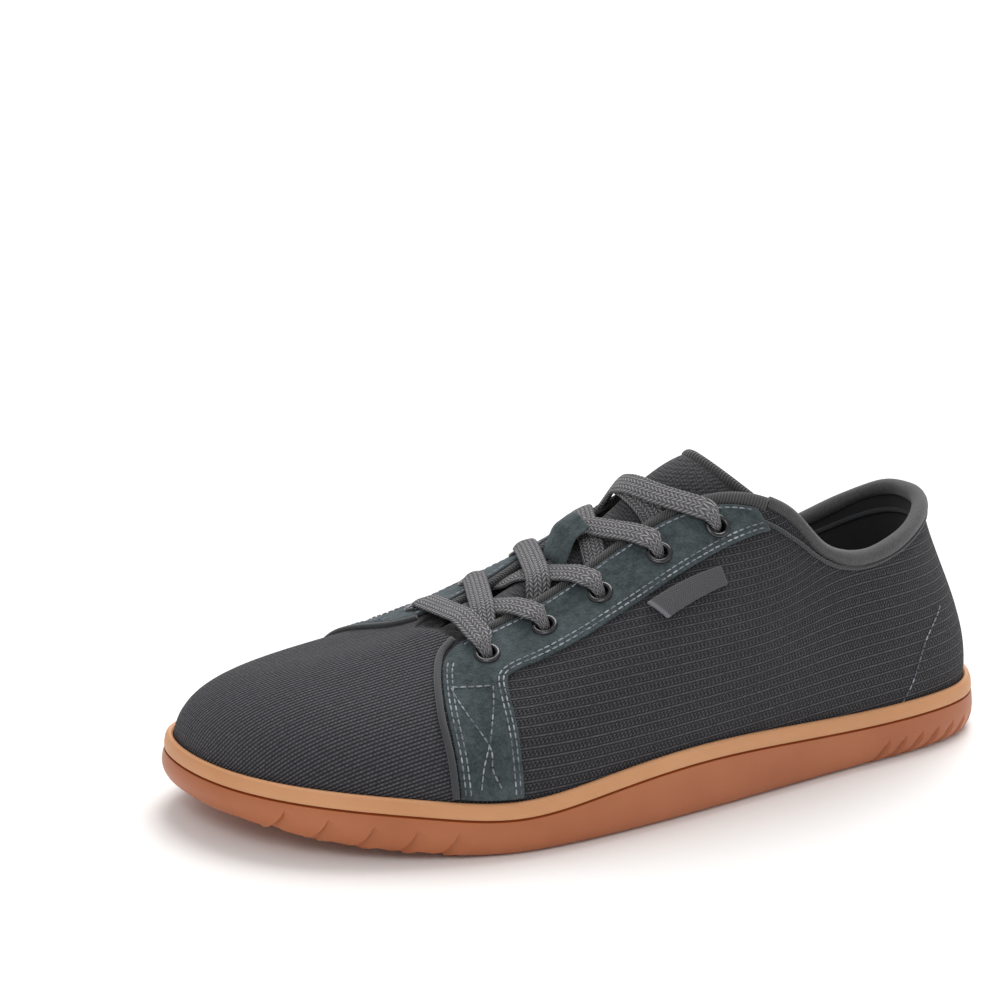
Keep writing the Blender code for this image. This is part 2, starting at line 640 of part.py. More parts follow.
def offset_shell(name, low, high, material):
    """A closed shell over the whole upper between two heights above its face, in the upper's own facets."""
    turns, shares = np.broadcast_arrays(TURNS[None, :], np.linspace(0, 1, RIB_ROWS + 1)[:, None])
    rings = [*upper_surface(turns, shares, low), *upper_surface(turns, shares, high)[::-1]]
    size, half, faces = len(TURNS), RIB_ROWS + 1, []
    for k in range(half - 1):
        faces += ring_triangles(size, k * size, (k + 1) * size)
        faces += ring_triangles(size, (2 * half - 1 - k) * size, (2 * half - 2 - k) * size)
    faces += ring_triangles(size, (half - 1) * size, half * size)
    faces += ring_triangles(size, (2 * half - 1) * size, 0)
    return new_object(name, np.vstack(rings), faces, material)


def overlay(name, rows, outer, thickness, material, along):
    """A piece sewn on the upper: a shell over it, cut to the outline in a table's rows."""
    piece = offset_shell(name, GAP, GAP + thickness, material)
    reach = 2 * UPPER_WALL
    outline = as_cutter(slab(f"{name}_outline", *sewn_strip(rows, outer, -reach, reach, 2, along), None))
    combine(piece, outline, "INTERSECT")
    return piece


def turned_ring(name, centre, normal, profile, material, corners=EYELET_SIDES):
    """A ring turned about a normal from a closed profile of radius and height."""
    normal = unit(np.asarray(normal))
    first = unit(np.cross(normal, [1.0, 0.0, 0.0]))
    second = np.cross(normal, first)
    points, count = [], len(profile)
    for k in range(corners):
        angle = 2 * math.pi * k / corners
        out = first * math.cos(angle) + second * math.sin(angle)
        points += [centre + out * radius + normal * height for radius, height in profile]
    faces = []
    for k in range(corners):
        a, b = k * count, (k + 1) % corners * count
        faces += [(a + i, a + (i + 1) % count, b + (i + 1) % count, b + i) for i in range(count)]
    return new_object(name, points, faces, material)


def grid_normals(grid):
    """Unit normals of a grid of points, upwards."""
    down_rows = np.gradient(grid, axis=0)
    along_rows = np.gradient(grid, axis=1)
    normals = unit(np.cross(down_rows, along_rows))
    return normals * np.sign(normals[..., 2:3])


def tongue_face(roofs, rows=13, columns=9):
    """The tongue's upper face, from its toe end to its top, kept under the throat with room for a lace."""
    half_ball = BALL_WIDTH / 2
    room = LACE_THICKNESS + 3 * GAP
    grid = []
    for along, crest, half, fall, back in smooth_rows(TONGUE, rows):
        line = []
        for across in np.linspace(-1, 1, columns):
            drop = abs(across) ** TONGUE_ROUND * half_ball
            x, y = along * LENGTH - back * drop, across * half * half_ball
            z = crest * INSTEP_HEIGHT - fall * drop
            for roof, shift in product(roofs, (-TAPE_WIDTH, -TAPE_WIDTH / 2, 0.0, TAPE_WIDTH / 2, TAPE_WIDTH)):
                hit = roof.ray_cast(Vector((x - CENTRE[0], y + shift, SOLE_SIDE)), Vector((0, 0, 1)))[0]
                if hit:
                    z = min(z, hit.z - room)
            line.append([x, y, z])
        grid.append(line)
    return np.array(grid)


def eyelet_place(number, outer):
    """An eyelet's middle on the face of the upper, and the way it points."""
    along, share = EYELETS[number]
    return on_upper(along, share, outer, GAP)


def top_of(trees, place):
    """The height of the highest face over or under a place seen from above."""
    heights = []
    for tree in trees:
        hit = tree.ray_cast(Vector((*(place[:2] - CENTRE[:2]), 1.0)), Vector((0, 0, -1)))[0]
        if hit is not None:
            heights.append(hit.z)
    return max(heights, default=0.0)


def tree_of(obj):
    graph = bpy.context.evaluated_depsgraph_get()
    return BVHTree.FromObject(obj, graph)


def taut(distances, heights):
    """The heights of a band pulled tight over the given ones."""
    hull = [0]
    for k in range(1, len(distances)):
        while len(hull) > 1:
            a, b = hull[-2], hull[-1]
            slope_ab = (heights[b] - heights[a]) / (distances[b] - distances[a])
            slope_ak = (heights[k] - heights[a]) / (distances[k] - distances[a])
            if slope_ak < slope_ab:
                break
            hull.pop()
        hull.append(k)
    return np.interp(distances, distances[hull], heights[hull])


def strand(start, end, up, near_trees, far_trees, crossed=None, bow=0.0):
    """A lace strand's middle line, pulled tight over what lies under it and the strand that it crosses."""
    across = end[:2] - start[:2]
    fine = 4 * STRAND_STEPS
    places = [start[:2] + across * s + [4 * bow * s * (1 - s), 0] for s in np.linspace(0, 1, fine + 1)]
    side = unit(np.cross(up, [*across, 0.0]))
    clear = (GAP + LACE_THICKNESS / 2) / up[2] + GAP
    heights = []
    for k, place in enumerate(places):
        trees = near_trees if k < fine / 2 else far_trees
        levels = []
        for offset in (-0.5, 0.0, 0.5):
            shift = side * offset * LACE_WIDTH
            levels.append(top_of(trees, place + shift[:2]) - shift[2])
            if crossed:
                joined = top_of([crossed], place + shift[:2]) - shift[2]
                levels.append(joined - clear + LACE_THICKNESS / 2 - LACE_JOIN)
        heights.append(max(levels) + clear)
    distances = np.linspace(0, np.linalg.norm(across), fine + 1)
    heights = taut(distances, np.array(heights))
    sag = np.max(heights - np.interp(distances, distances[::4], heights[::4]))
    line = np.column_stack([places[::4], heights[::4] + sag])
    travel = unit(np.gradient(line, axis=0))
    return line, unit(np.cross(up, travel)), np.full(len(line), LACE_WIDTH)


def pressed(line, up, crossed):
    """Presses a strand on to the one that it crosses, so that the two overlap by LACE_JOIN."""
    spots = np.linspace(0, len(line) - 1, 8 * STRAND_STEPS)
    fine = np.column_stack([np.interp(spots, np.arange(len(line)), line[:, k]) for k in range(3)])
    tops = np.array([top_of([crossed], place) for place in fine])
    spaces = np.where(tops > 0, fine[:, 2] - LACE_THICKNESS / 2 / up[2] - tops, np.inf)
    nearest = int(spots[spaces.argmin()])
    line = line.copy()
    line[nearest : nearest + 2, 2] -= max(spaces.min() + LACE_JOIN, 0.0)
    return line


def crest_up(tree, along):
    """The way up from the tongue's crest at a place along the shoe."""
    step = LACE_WIDTH / 2
    heel, toe = (top_of([tree], np.array([along + k * step, 0.0])) for k in (-1, 1))
    return unit(np.array([heel - toe, 0.0, 2 * step]))


def into_eyelet(line, sides, widths, place, normal):
    """Ends a strand in an eyelet: it narrows over the ring and dips into the hole."""
    way = unit(line[-1] - line[-3])
    way = unit(way - normal * (way @ normal))
    over = BARREL_TOP + EYELET_LIP + 2 * GAP + LACE_THICKNESS / 2
    ends, narrow = [], []
    for back, sunk, share in LACE_END:
        ends.append(place - way * back * EYELET_HOLE + normal * (over - sunk * LACE_THICKNESS))
        narrow.append(LACE_WIDTH * share)
    kept = [k for k, point in enumerate(line) if (ends[0] - point) @ way > LACE_THICKNESS]
    level = np.cross(normal, way) * np.sign(np.cross(normal, way) @ sides[-1])
    last = unit(sides[-1] + level)
    turned = np.vstack([sides[kept[:-1]], last, level, level, level])
    return np.vstack([line[kept], *ends]), turned, np.append(widths[kept], narrow)


def ribbon(name, centres, sides, widths, material):
    """A flat closed band along centres, with square edges."""
    centres = np.asarray(centres)
    travel = unit(np.gradient(centres, axis=0))
    points = []
    for centre, way, side, width in zip(centres, travel, sides, widths):
        level = unit(side - way * (side @ way))
        up = np.cross(way, level)
        for a, b in ((-1, -1), (1, -1), (1, 1), (-1, 1)):
            points.append(centre + level * a * width / 2 + up * b * LACE_THICKNESS / 2)
    count = len(centres)
    faces = [(0, 1, 2, 3), tuple(4 * count - 1 - k for k in range(4))]
    for i in range(count - 1):
        faces += ring_faces(4, 4 * i, 4 * i + 4)
    return new_object(name, points, faces, material)


for old in list(bpy.data.objects):
    bpy.data.objects.remove(old)

# Outsole: a moulded rubber cup, cut flat and then lifted at the toe
outsole = sole_blank("outsole", new_material("gum_rubber", (0.55, 0.22, 0.10), 0.55))
panel = as_cutter(prism("panel", np.array(PANEL) * [LENGTH, BALL_WIDTH / 2], -UNDER, TREAD_DEPTH + UNDER))
pad = as_cutter(prism("pad", pad_outline(), -2 * UNDER, TREAD_DEPTH + UNDER + UNDER))
pyramids = as_cutter(pyramid_field("pyramids"))
combine(panel, pyramids, "DIFFERENCE")
combine(panel, pad, "DIFFERENCE")
combine(outsole, panel, "DIFFERENCE")
for cutter in rib_cutters():
    combine(outsole, cutter, "DIFFERENCE")
bake(outsole)
work = bmesh.new()
work.from_mesh(outsole.data)
for along in np.arange(SPRING_START, LENGTH, SPRING_STEP):
    cut = Vector((along - LENGTH / 2, 0, 0))
    everything = work.verts[:] + work.edges[:] + work.faces[:]
    bmesh.ops.bisect_plane(work, geom=everything, plane_co=cut, plane_no=(1, 0, 0), dist=1e-6)
for vertex in work.verts:
    vertex.co.z += float(spring(vertex.co.x + LENGTH / 2))
work.to_mesh(outsole.data)
work.free()

# Insole: a foam sheet on the cup's floor, inside the upper's lower edge
inner_ring, _ = LAST.inset(TURNS, FEATHER_INSET + UPPER_WALL + GAP)
floor_height = SOLE_FLOOR + spring(inner_ring[:, 0])
under = np.column_stack([inner_ring, floor_height + GAP])
over = under + [0, 0, INSOLE_THICKNESS]
count = len(TURNS)
new_object(
    "insole",
    np.vstack([under, over]),
    ring_faces(count, 0, count) + strip_faces(0) + strip_faces(count, True),
    new_material("insole_foam", (0.03, 0.03, 0.035), 0.9),
)

# Upper: one hollow wall from the cup's floor to the cut edge of the collar and throat
shares = np.linspace(0, 1, RIB_ROWS + 1)
outer = upper_surface(TURNS[None, :], shares[:, None])
inner = outer - upper_normals(
    np.broadcast_to(TURNS, outer.shape[:2]).ravel(), np.repeat(shares, count)
).reshape(outer.shape) * UPPER_WALL
foot_outer, _ = LAST.inset(TURNS, FEATHER_INSET)
foot_inner, _ = LAST.inset(TURNS, FEATHER_INSET + UPPER_WALL)
foot_height = SOLE_FLOOR + spring(foot_outer[:, 0]) + GAP
foot_outer = np.column_stack([foot_outer, foot_height])
foot_inner = np.column_stack([foot_inner, foot_height])
inner[0, :, 2] = wall_top(TURNS)
inner[0, :, :2] = foot_inner[:, :2]
rings = [foot_outer, *outer, *inner[::-1], foot_inner]
faces = []
half = RIB_ROWS + 1
for k in range(half):
    faces += ring_triangles(count, k * count, (k + 1) * count)
    faces += ring_triangles(count, (2 * half + 1 - k) * count, (2 * half - k) * count)
faces += ring_triangles(count, half * count, (half + 1) * count)
faces += ring_triangles(count, (2 * half + 1) * count, 0)
upper = new_object("upper", np.vstack(rings), faces, new_material("knit", (0.055, 0.060, 0.068), 0.9))

SUEDE_FINISH = new_material("suede", (0.060, 0.075, 0.080), 0.95)
TAPE_FINISH = new_material("ribbed_tape", (0.045, 0.047, 0.050), 0.8)
METAL = new_material("dark_metal", (0.05, 0.05, 0.055), 0.3, 1.0)
LACE_FINISH = new_material("lace_weave", (0.085, 0.082, 0.088), 0.9)

# Sewn pieces, one of each on the outer and on the inner side
sides = {True: "outer", False: "inner"}
backing, tapes = [], []
for outer_side, side_name in sides.items():
    # Eyestay: suede, with a hole for each eyelet
    eyestay = overlay(f"eyestay_{side_name}", EYESTAY, outer_side, SUEDE, SUEDE_FINISH, 18)
    backing.append(eyestay)
    for number in range(len(EYELETS)):
        place, normal = eyelet_place(number, outer_side)
        first = unit(np.cross(normal, [1.0, 0.0, 0.0]))
        second = np.cross(normal, first)
        reach = normal * EYELET_OUTER / 2
        drill = as_cutter(tube(
            f"hole_{side_name}_{number}", [place - reach, place + reach], [first] * 2, [second] * 2,
            2 * HOLE_RADIUS, 2 * HOLE_RADIUS, None, EYELET_SIDES,
        ))
        combine(eyestay, drill, "DIFFERENCE")
        combine(upper, drill, "DIFFERENCE")
        # Eyelet: a metal ring with a barrel through the suede and the knit
        backing.append(turned_ring(f"eyelet_{side_name}_{number + 1}", place, normal, EYELET_PROFILE, METAL))
    # Piped seam: a thin rolled edge where the vamp meets the quarter
    found = [on_upper(along, share, outer_side, GAP + PIPING * 0.35) for along, share in smooth_rows(SEAM, 11)]
    centres = np.array([place for place, _ in found])
    normals = np.array([normal for _, normal in found])
    travel = unit(np.gradient(centres, axis=0))
    aside = unit(np.cross(travel, normals))
    tube(f"seam_piping_{side_name}", centres, aside, normals, PIPING, PIPING * 0.7, SUEDE_FINISH, 6)
    # Throat tape: ribbed binding along the throat's edge
    ends = turn_for(TOE_TAPE, 1.0, outer_side), turn_for(TIP, 1.0, outer_side)
    tape_size = TAPE_WIDTH, TAPE_HEIGHT, TAPE_SINK
    tapes.append(edge_rod(f"throat_tape_{side_name}", *ends, *tape_size, TAPE_FINISH, 6))

# Collar: a padded roll round the ankle opening
collar_end = TIP - 1.5 * GAP / LENGTH
ends = turn_for(collar_end, 1.0, False) - 1.0, turn_for(collar_end, 1.0, True)
collar_finish = new_material("collar_cloth", (0.045, 0.045, 0.045), 0.8)
edge_rod("collar", *ends, COLLAR_ROLL, COLLAR_ROLL, UPPER_WALL / 2, collar_finish)

# Tongue: a thick knitted flap under the throat
face = tongue_face([tree_of(piece) for piece in (upper, *tapes)])
tongue_finish = new_material("tongue_knit", (0.07, 0.07, 0.075), 0.9)
tongue = slab("tongue", face - grid_normals(face) * TONGUE_THICKNESS, face, tongue_finish)

# Label: a plain folded tab of woven tape, sewn on under the outer eyestay
overlay("label", LABEL, True, LABEL_THICKNESS, new_material("label_weave", (0.12, 0.12, 0.125), 0.8), 2)

# Lace: a bar over the first eyelets, and a joined crossing between each two pairs
flap = tree_of(tongue)
under_lace = [flap, *(tree_of(piece) for piece in (*backing, *tapes))]

# The crossings: each strand starts under the tape at one eyelet and ends in the next one of the other side
crossings = []
for number in range(len(EYELETS) - 1):
    made = []
    outer_over, bow = LACING[number]
    for from_outer in (not outer_over, outer_over):
        start_place, _ = eyelet_place(number, from_outer)
        end_place, end_normal = eyelet_place(number + 1, not from_outer)
        edge = upper_surface([turn_for(start_place[0] / LENGTH, 1.0, from_outer)], [1.0])[0]
        inside = (abs(start_place[1]) - abs(edge[1]) + LACE_TUCK) / (abs(start_place[1]) + abs(end_place[1]))
        start = start_place + (end_place - start_place) * inside
        crossed = tree_of(made[0]) if made else None
        lace_up = crest_up(flap, (start_place[0] + end_place[0]) / 2 + bow * LENGTH)
        line, asides, widths = strand(start, end_place, lace_up, [flap], under_lace, crossed, bow * LENGTH)
        if crossed:
            line = pressed(line, lace_up, crossed)
        name = f"lace_over_{number + 1}" if made else f"lace_cross_{number + 1}"
        made.append(ribbon(name, *into_eyelet(line, asides, widths, end_place, end_normal), LACE_FINISH))
    combine(made[0], as_cutter(made[1]), "UNION")
    crossings.append(made[0])

# The bar lies over the ends of the first crossing
under_bar = [*under_lace, tree_of(crossings[0])]
(outer_place, outer_normal), (inner_place, inner_normal) = eyelet_place(0, True), eyelet_place(0, False)
lace_up = crest_up(flap, outer_place[0])
line = into_eyelet(*strand(inner_place, outer_place, lace_up, under_bar, under_bar), outer_place, outer_normal)
line = into_eyelet(*(values[::-1] for values in line), inner_place, inner_normal)
ribbon("lace_bar", *line, LACE_FINISH)

# Lace keeper: a suede strap across the tongue, flat at its toe side and raised over a crossing at its heel side
middles = [(EYELETS[number][0] + EYELETS[number + 1][0]) / 2 for number in range(len(crossings))]
nearest = int(np.abs(np.array(middles) - KEEPER).argmin())
kept_lace = tree_of(crossings[nearest])
keeper_up = crest_up(flap, KEEPER * LENGTH)
grid, heights = [], []
for along in np.linspace(0.5, -0.5, 6):
    x = KEEPER * LENGTH + along * KEEPER_LENGTH
    places = [np.array([x, across * KEEPER_WIDTH]) for across in np.linspace(-0.5, 0.5, 5)]
    grid.append([[*place, top_of([flap], place) + 2 * GAP] for place in places])
    heights.append([top_of([kept_lace], place) + 2 * GAP for place in places])
low = np.array(grid)
needed = np.max(np.array(heights) - low[:, :, 2], axis=0).clip(0)
needed = np.max([np.roll(needed, k) for k in (-1, 0, 1)], axis=0) + GAP
low[:, :, 2] += np.interp(np.arange(6), [0, 2, 5], [0.0, 1.0, 1.0])[:, None] * needed
slab("lace_keeper", low, low + keeper_up * SUEDE, SUEDE_FINISH)
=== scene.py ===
"""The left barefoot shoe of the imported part, dressed in its rubber, knit, suede and laces.

The script follows the shoe as it is put together: the photographer's table, the cup sole, the insole, the
knitted upper, what is sewn on it, the collar, the tongue, the eyelets, the laces and the thread. All sizes
are in metres, in the part's own frame: the toe points to +X, the outer side to +Y, and the sole stands on
z = 0.
"""

import math

import bpy
import numpy as np
from mathutils import Matrix, Vector
from mathutils.bvhtree import BVHTree


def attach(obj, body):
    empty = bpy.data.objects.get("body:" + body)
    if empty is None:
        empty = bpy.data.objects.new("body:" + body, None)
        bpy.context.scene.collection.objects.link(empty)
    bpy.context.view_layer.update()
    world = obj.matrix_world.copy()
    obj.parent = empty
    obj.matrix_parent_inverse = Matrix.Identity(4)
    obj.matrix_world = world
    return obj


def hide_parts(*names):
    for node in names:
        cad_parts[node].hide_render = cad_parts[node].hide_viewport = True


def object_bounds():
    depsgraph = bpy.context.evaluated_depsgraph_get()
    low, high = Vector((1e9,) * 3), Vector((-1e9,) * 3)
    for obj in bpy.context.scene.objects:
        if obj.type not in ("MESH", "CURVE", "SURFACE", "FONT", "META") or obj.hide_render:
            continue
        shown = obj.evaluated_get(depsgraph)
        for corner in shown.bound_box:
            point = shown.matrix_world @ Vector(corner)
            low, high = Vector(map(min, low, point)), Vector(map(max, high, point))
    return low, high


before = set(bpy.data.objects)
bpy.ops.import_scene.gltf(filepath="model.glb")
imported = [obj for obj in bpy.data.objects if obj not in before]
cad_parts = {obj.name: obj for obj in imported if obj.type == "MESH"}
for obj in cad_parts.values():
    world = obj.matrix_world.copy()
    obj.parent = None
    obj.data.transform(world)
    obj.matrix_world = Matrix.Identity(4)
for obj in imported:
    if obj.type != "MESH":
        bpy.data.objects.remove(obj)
cad_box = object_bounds()


# The photographer's table: a white sheet that runs out of sight, lit by large soft lamps on the left, in
# front and overhead, with a long lens that looks slightly down at the shoe's outer side.
AZIMUTH, ELEVATION, ROLL = (math.radians(angle) for angle in (149.97, 17.05, 1.45))
CAMERA_DISTANCE = 1.1
AIM_ASIDE, AIM_UP, AIM_HEIGHT = -0.03112, 0.05077, 0.035
LENS, SENSOR = 126.65, 36.0
TABLE_DROP, TABLE_SIZE = 0.0002, 12
WORLD_STRENGTH = 0.52


def shown(name, data):
    """A new object in the scene, of the data given."""
    made = bpy.data.objects.new(name, data)
    bpy.context.collection.objects.link(made)
    return made


level = Vector((math.cos(AZIMUTH), math.sin(AZIMUTH), 0.0))
back = Vector((
    math.sin(AZIMUTH) * math.cos(ELEVATION), -math.cos(AZIMUTH) * math.cos(ELEVATION), math.sin(ELEVATION),
))
above = back.cross(level)
aside = level * math.cos(ROLL) + above * math.sin(ROLL)
upright = above * math.cos(ROLL) - level * math.sin(ROLL)
aim = Vector((0, 0, AIM_HEIGHT)) + aside * AIM_ASIDE + upright * AIM_UP
camera = shown("camera", bpy.data.cameras.new("camera"))
camera.data.lens = LENS
camera.data.sensor_width = SENSOR
turned = Matrix((aside, upright, back)).transposed().to_4x4()
camera.matrix_world = Matrix.Translation(aim + back * CAMERA_DISTANCE) @ turned
bpy.context.scene.camera = camera
bpy.context.scene.view_settings.view_transform = "Standard"

world = bpy.data.worlds.new("studio")
bpy.context.scene.world = world
world.use_nodes = True
sky = world.node_tree.nodes["Background"].inputs
sky["Color"].default_value = (1.0, 1.0, 1.0, 1.0)
sky["Strength"].default_value = WORLD_STRENGTH

# name, place, width and height, power in watts
LAMPS = (
    ("key_lamp", (0.75, 0.75, 1.00), (0.60, 0.60), 4.0),
    ("fill_lamp", (-0.70, 1.10, 0.55), (0.90, 0.90), 1.0),
    ("rim_lamp", (-0.60, -0.90, 0.70), (0.70, 0.70), 2.5),
)
BANK_FROM, BANK_SOFTNESS, BANK_STRENGTH = (-0.45, -0.42, 1.0), math.radians(42), 2.1
for name, place, (wide, high), power in LAMPS:
    lamp = bpy.data.lights.new(name, "AREA")
    lamp.shape = "RECTANGLE"
    lamp.size, lamp.size_y = wide, high
    lamp.energy = power
    holder = shown(name, lamp)
    holder.location = place
    holder.rotation_euler = Vector(place).to_track_quat("Z", "Y").to_euler()
bank = bpy.data.lights.new("overhead_bank", "SUN")
bank.angle, bank.energy, bank.color = BANK_SOFTNESS, BANK_STRENGTH, (1.0, 0.985, 0.97)
holder = shown("overhead_bank", bank)
holder.rotation_euler = Vector(BANK_FROM).to_track_quat("Z", "Y").to_euler()


class Finish:
    """A material made of nodes around one shader."""

    def __init__(self, name, colour, roughness, **sockets):
        self.material = bpy.data.materials.new(name)
        self.material.use_nodes = True
        self.tree = self.material.node_tree
        self.shader = self.tree.nodes["Principled BSDF"]
        self.give("Base Color", (*colour, 1.0))
        self.give("Roughness", roughness)
        for socket, value in sockets.items():
            self.give(socket.replace("_", " "), value)

    def link(self, socket, value):
        if isinstance(value, bpy.types.NodeSocket):
            self.tree.links.new(value, socket)
        else:
            socket.default_value = value

    def give(self, socket, value):
        """Sets a socket of the shader to a number or a colour, or joins a node to it."""
        self.link(self.shader.inputs[socket], value)

    def node(self, kind, inputs, output=0, **settings):
        made = self.tree.nodes.new("ShaderNode" + kind)
        for key, value in settings.items():
            setattr(made, key, value)
        for key, value in inputs.items():
            self.link(made.inputs[key], value)
        return made.outputs[output]

    def sum(self, operation, *values):
        """One step of arithmetic on numbers or node outputs."""
        return self.node("Math", dict(enumerate(values)), operation=operation)

    def place(self):
        """Where a point is on its piece, in metres."""
        return self.tree.nodes.new("ShaderNodeTexCoord").outputs["Object"]

    def cloth(self, layer="UVMap"):
        """Where a point is on the piece's own cloth: along it and across it, in metres."""
        read = self.node("UVMap", {}, uv_map=layer)
        split = self.tree.nodes.new("ShaderNodeSeparateXYZ")
        self.link(split.inputs[0], read)
        return split.outputs[0], split.outputs[1]

    def noise(self, scale, detail=3.0):
        return self.node("TexNoise", {"Vector": self.place(), "Scale": scale, "Detail": detail})

    def mottle(self, scale, detail, low, high):
        """Clouds from 0 to 1: the noise between low and high, spread out."""
        return self.between(self.noise(scale, detail), 0.0, 1.0, low, high)

    def ripple(self, along, pitch):
        """A wave from -1 to 1 that repeats at a pitch."""
        return self.sum("SINE", self.sum("MULTIPLY", along, 2 * math.pi / pitch))

    def fade(self, value, near, far):
        """1 up to one value, falling smoothly to 0 at another."""
        inputs = {"Value": value, "From Min": near, "From Max": far, "To Min": 1.0, "To Max": 0.0}
        return self.node("MapRange", inputs, interpolation_type="SMOOTHSTEP")

    def between(self, value, low, high, from_low=0.0, from_high=1.0):
        """Spreads a value evenly between two others."""
        inputs = {"Value": value, "From Min": from_low, "From Max": from_high, "To Min": low, "To Max": high}
        return self.node("MapRange", inputs)

    def blend(self, share, first, second):
        """A colour between two others."""
        first, second = (c if isinstance(c, bpy.types.NodeSocket) else (*c, 1.0) for c in (first, second))
        return self.node("Mix", {0: share, 6: first, 7: second}, 2, data_type="RGBA")

    def relief(self, height, depth, strength=1.0):
        """Raises the surface by a height from 0 to 1."""
        return self.node("Bump", {"Height": height, "Distance": depth, "Strength": strength})


def only(piece):
    """Makes a piece the only one selected."""
    bpy.ops.object.select_all(action="DESELECT")
    piece.select_set(True)
    bpy.context.view_layer.objects.active = piece


table_finish = Finish("white_table", (0.97, 0.965, 0.96), 0.6)
table_finish.give("Roughness", table_finish.between(table_finish.noise(3.0), 0.5, 0.62))
bpy.ops.object.select_all(action="DESELECT")
table_place = (0, 0, cad_box[0].z - TABLE_DROP)
bpy.ops.mesh.primitive_grid_add(x_subdivisions=4, y_subdivisions=4, size=TABLE_SIZE, location=table_place)
table = bpy.context.object
table.name = "white_table"
bpy.ops.object.transform_apply(location=True, rotation=True, scale=True)
table.data.materials.append(table_finish.material)


# Outsole: one cup of gum rubber from a mould, with a fine groove round its side, ribs at toe and heel and a
# sunk field of pyramids with one smooth pad. Its outline and heights are those of the shoe's last.
LENGTH = 0.275
BALL_WIDTH = 0.107
HEEL_HEIGHT = 0.080
INSTEP_HEIGHT = 0.090
SOLE_SIDE = 0.0215
SOLE_FLOOR = 0.0065
TOE_SPRING = 0.0100
SPRING_START = 0.195
LIP = 0.0019
LIP_INSET = 0.0015
GROOVE_DROP, GROOVE_HALF = 0.0050, 0.0004
TREAD_DEPTH = 0.0020
GAP = 0.0003
ROUND_COLUMNS = 260
SOLE_CREASE = math.radians(30)

# The shoe's sections from the heel back along the outer side to the toe and home along the inner side. Each
# row has the outline's place, along and aside, and the wall's share of the side; the cut edge's place, along
# and aside, and its shares of the heel's and the instep's height; and the angles, in degrees, at which the
# upper's curve leaves the sole and meets the cut edge, with how far each end pulls it.
SECTIONS = np.array((
    (0.000, 0.000, 0.82, 0.077, 0.000, 0.935, 0.000, 93, 72, 0.34, 0.32),
    (0.033, 0.449, 0.82, 0.092, 0.252, 0.920, 0.000, 94, 79, 0.34, 0.32),
    (0.116, 0.645, 0.83, 0.143, 0.458, 0.858, 0.000, 95, 84, 0.33, 0.30),
    (0.225, 0.729, 0.85, 0.222, 0.551, 0.810, 0.000, 96, 86, 0.33, 0.30),
    (0.345, 0.821, 0.95, 0.287, 0.561, 0.410, 0.444, 97, 76, 0.33, 0.30),
    (0.473, 0.921, 1.02, 0.333, 0.495, 0.000, 0.948, 96, 52, 0.34, 0.30),
    (0.600, 0.991, 0.90, 0.440, 0.315, 0.000, 0.966, 93, 40, 0.34, 0.32),
    (0.709, 0.983, 0.76, 0.575, 0.262, 0.000, 0.755, 90, 33, 0.34, 0.34),
    (0.807, 0.847, 0.88, 0.669, 0.234, 0.000, 0.635, 86, 28, 0.33, 0.37),
    (0.905, 0.576, 1.01, 0.707, 0.159, 0.000, 0.610, 80, 23, 0.31, 0.40),
    (0.973, 0.178, 1.07, 0.722, 0.050, 0.000, 0.617, 76, 19, 0.29, 0.42),
    (1.000, -0.318, 1.10, 0.729, -0.056, 0.000, 0.610, 76, 18, 0.29, 0.42),
    (0.985, -0.673, 1.09, 0.725, -0.159, 0.000, 0.600, 78, 20, 0.30, 0.42),
    (0.931, -0.890, 1.03, 0.695, -0.224, 0.000, 0.617, 81, 23, 0.31, 0.40),
    (0.844, -0.987, 0.92, 0.635, -0.252, 0.000, 0.670, 85, 28, 0.32, 0.38),
    (0.731, -1.000, 0.78, 0.550, -0.271, 0.000, 0.785, 88, 34, 0.33, 0.34),
    (0.625, -0.893, 0.88, 0.447, -0.308, 0.000, 0.915, 92, 42, 0.34, 0.32),
    (0.498, -0.740, 1.02, 0.347, -0.486, 0.000, 0.880, 95, 54, 0.34, 0.30),
    (0.353, -0.658, 0.96, 0.287, -0.551, 0.400, 0.290, 96, 76, 0.33, 0.30),
    (0.225, -0.665, 0.85, 0.218, -0.533, 0.690, 0.000, 95, 86, 0.33, 0.30),
    (0.116, -0.647, 0.83, 0.143, -0.449, 0.790, 0.000, 94, 84, 0.33, 0.30),
    (0.033, -0.449, 0.82, 0.092, -0.252, 0.900, 0.000, 93, 79, 0.34, 0.32),
))
# The side's moulded curve from the cup's inner lip to the ground: inset from the outline, height as a share
# of the wall under the groove, and drop below the wall's top
SIDE = (
    (LIP_INSET + LIP, 1.0, 0.0016), (LIP_INSET + LIP, 1.0, 0.0004), (LIP_INSET + LIP - 0.0005, 1.0, 0.0),
    (0.0021, 1.0, 0.0), (0.0015, 1.0, 0.0004), (0.0010, 1.0, 0.0016), (0.0007, 1.0, 0.0036),
    (0.0008, 1.0, GROOVE_DROP - GROOVE_HALF), (0.0016, 1.0, GROOVE_DROP - 0.0001),
    (0.0016, 1.0, GROOVE_DROP + 0.0001), (0.0007, 1.0, GROOVE_DROP + GROOVE_HALF),
    (0.0003, 0.86, 0.0), (0.0000, 0.62, 0.0), (0.0001, 0.44, 0.0),
    (0.0006, 0.26, 0.0), (0.0014, 0.12, 0.0), (0.0024, 0.04, 0.0), (0.0034, 0.0, 0.0),
)
GROOVE_ROWS = (7, 10)
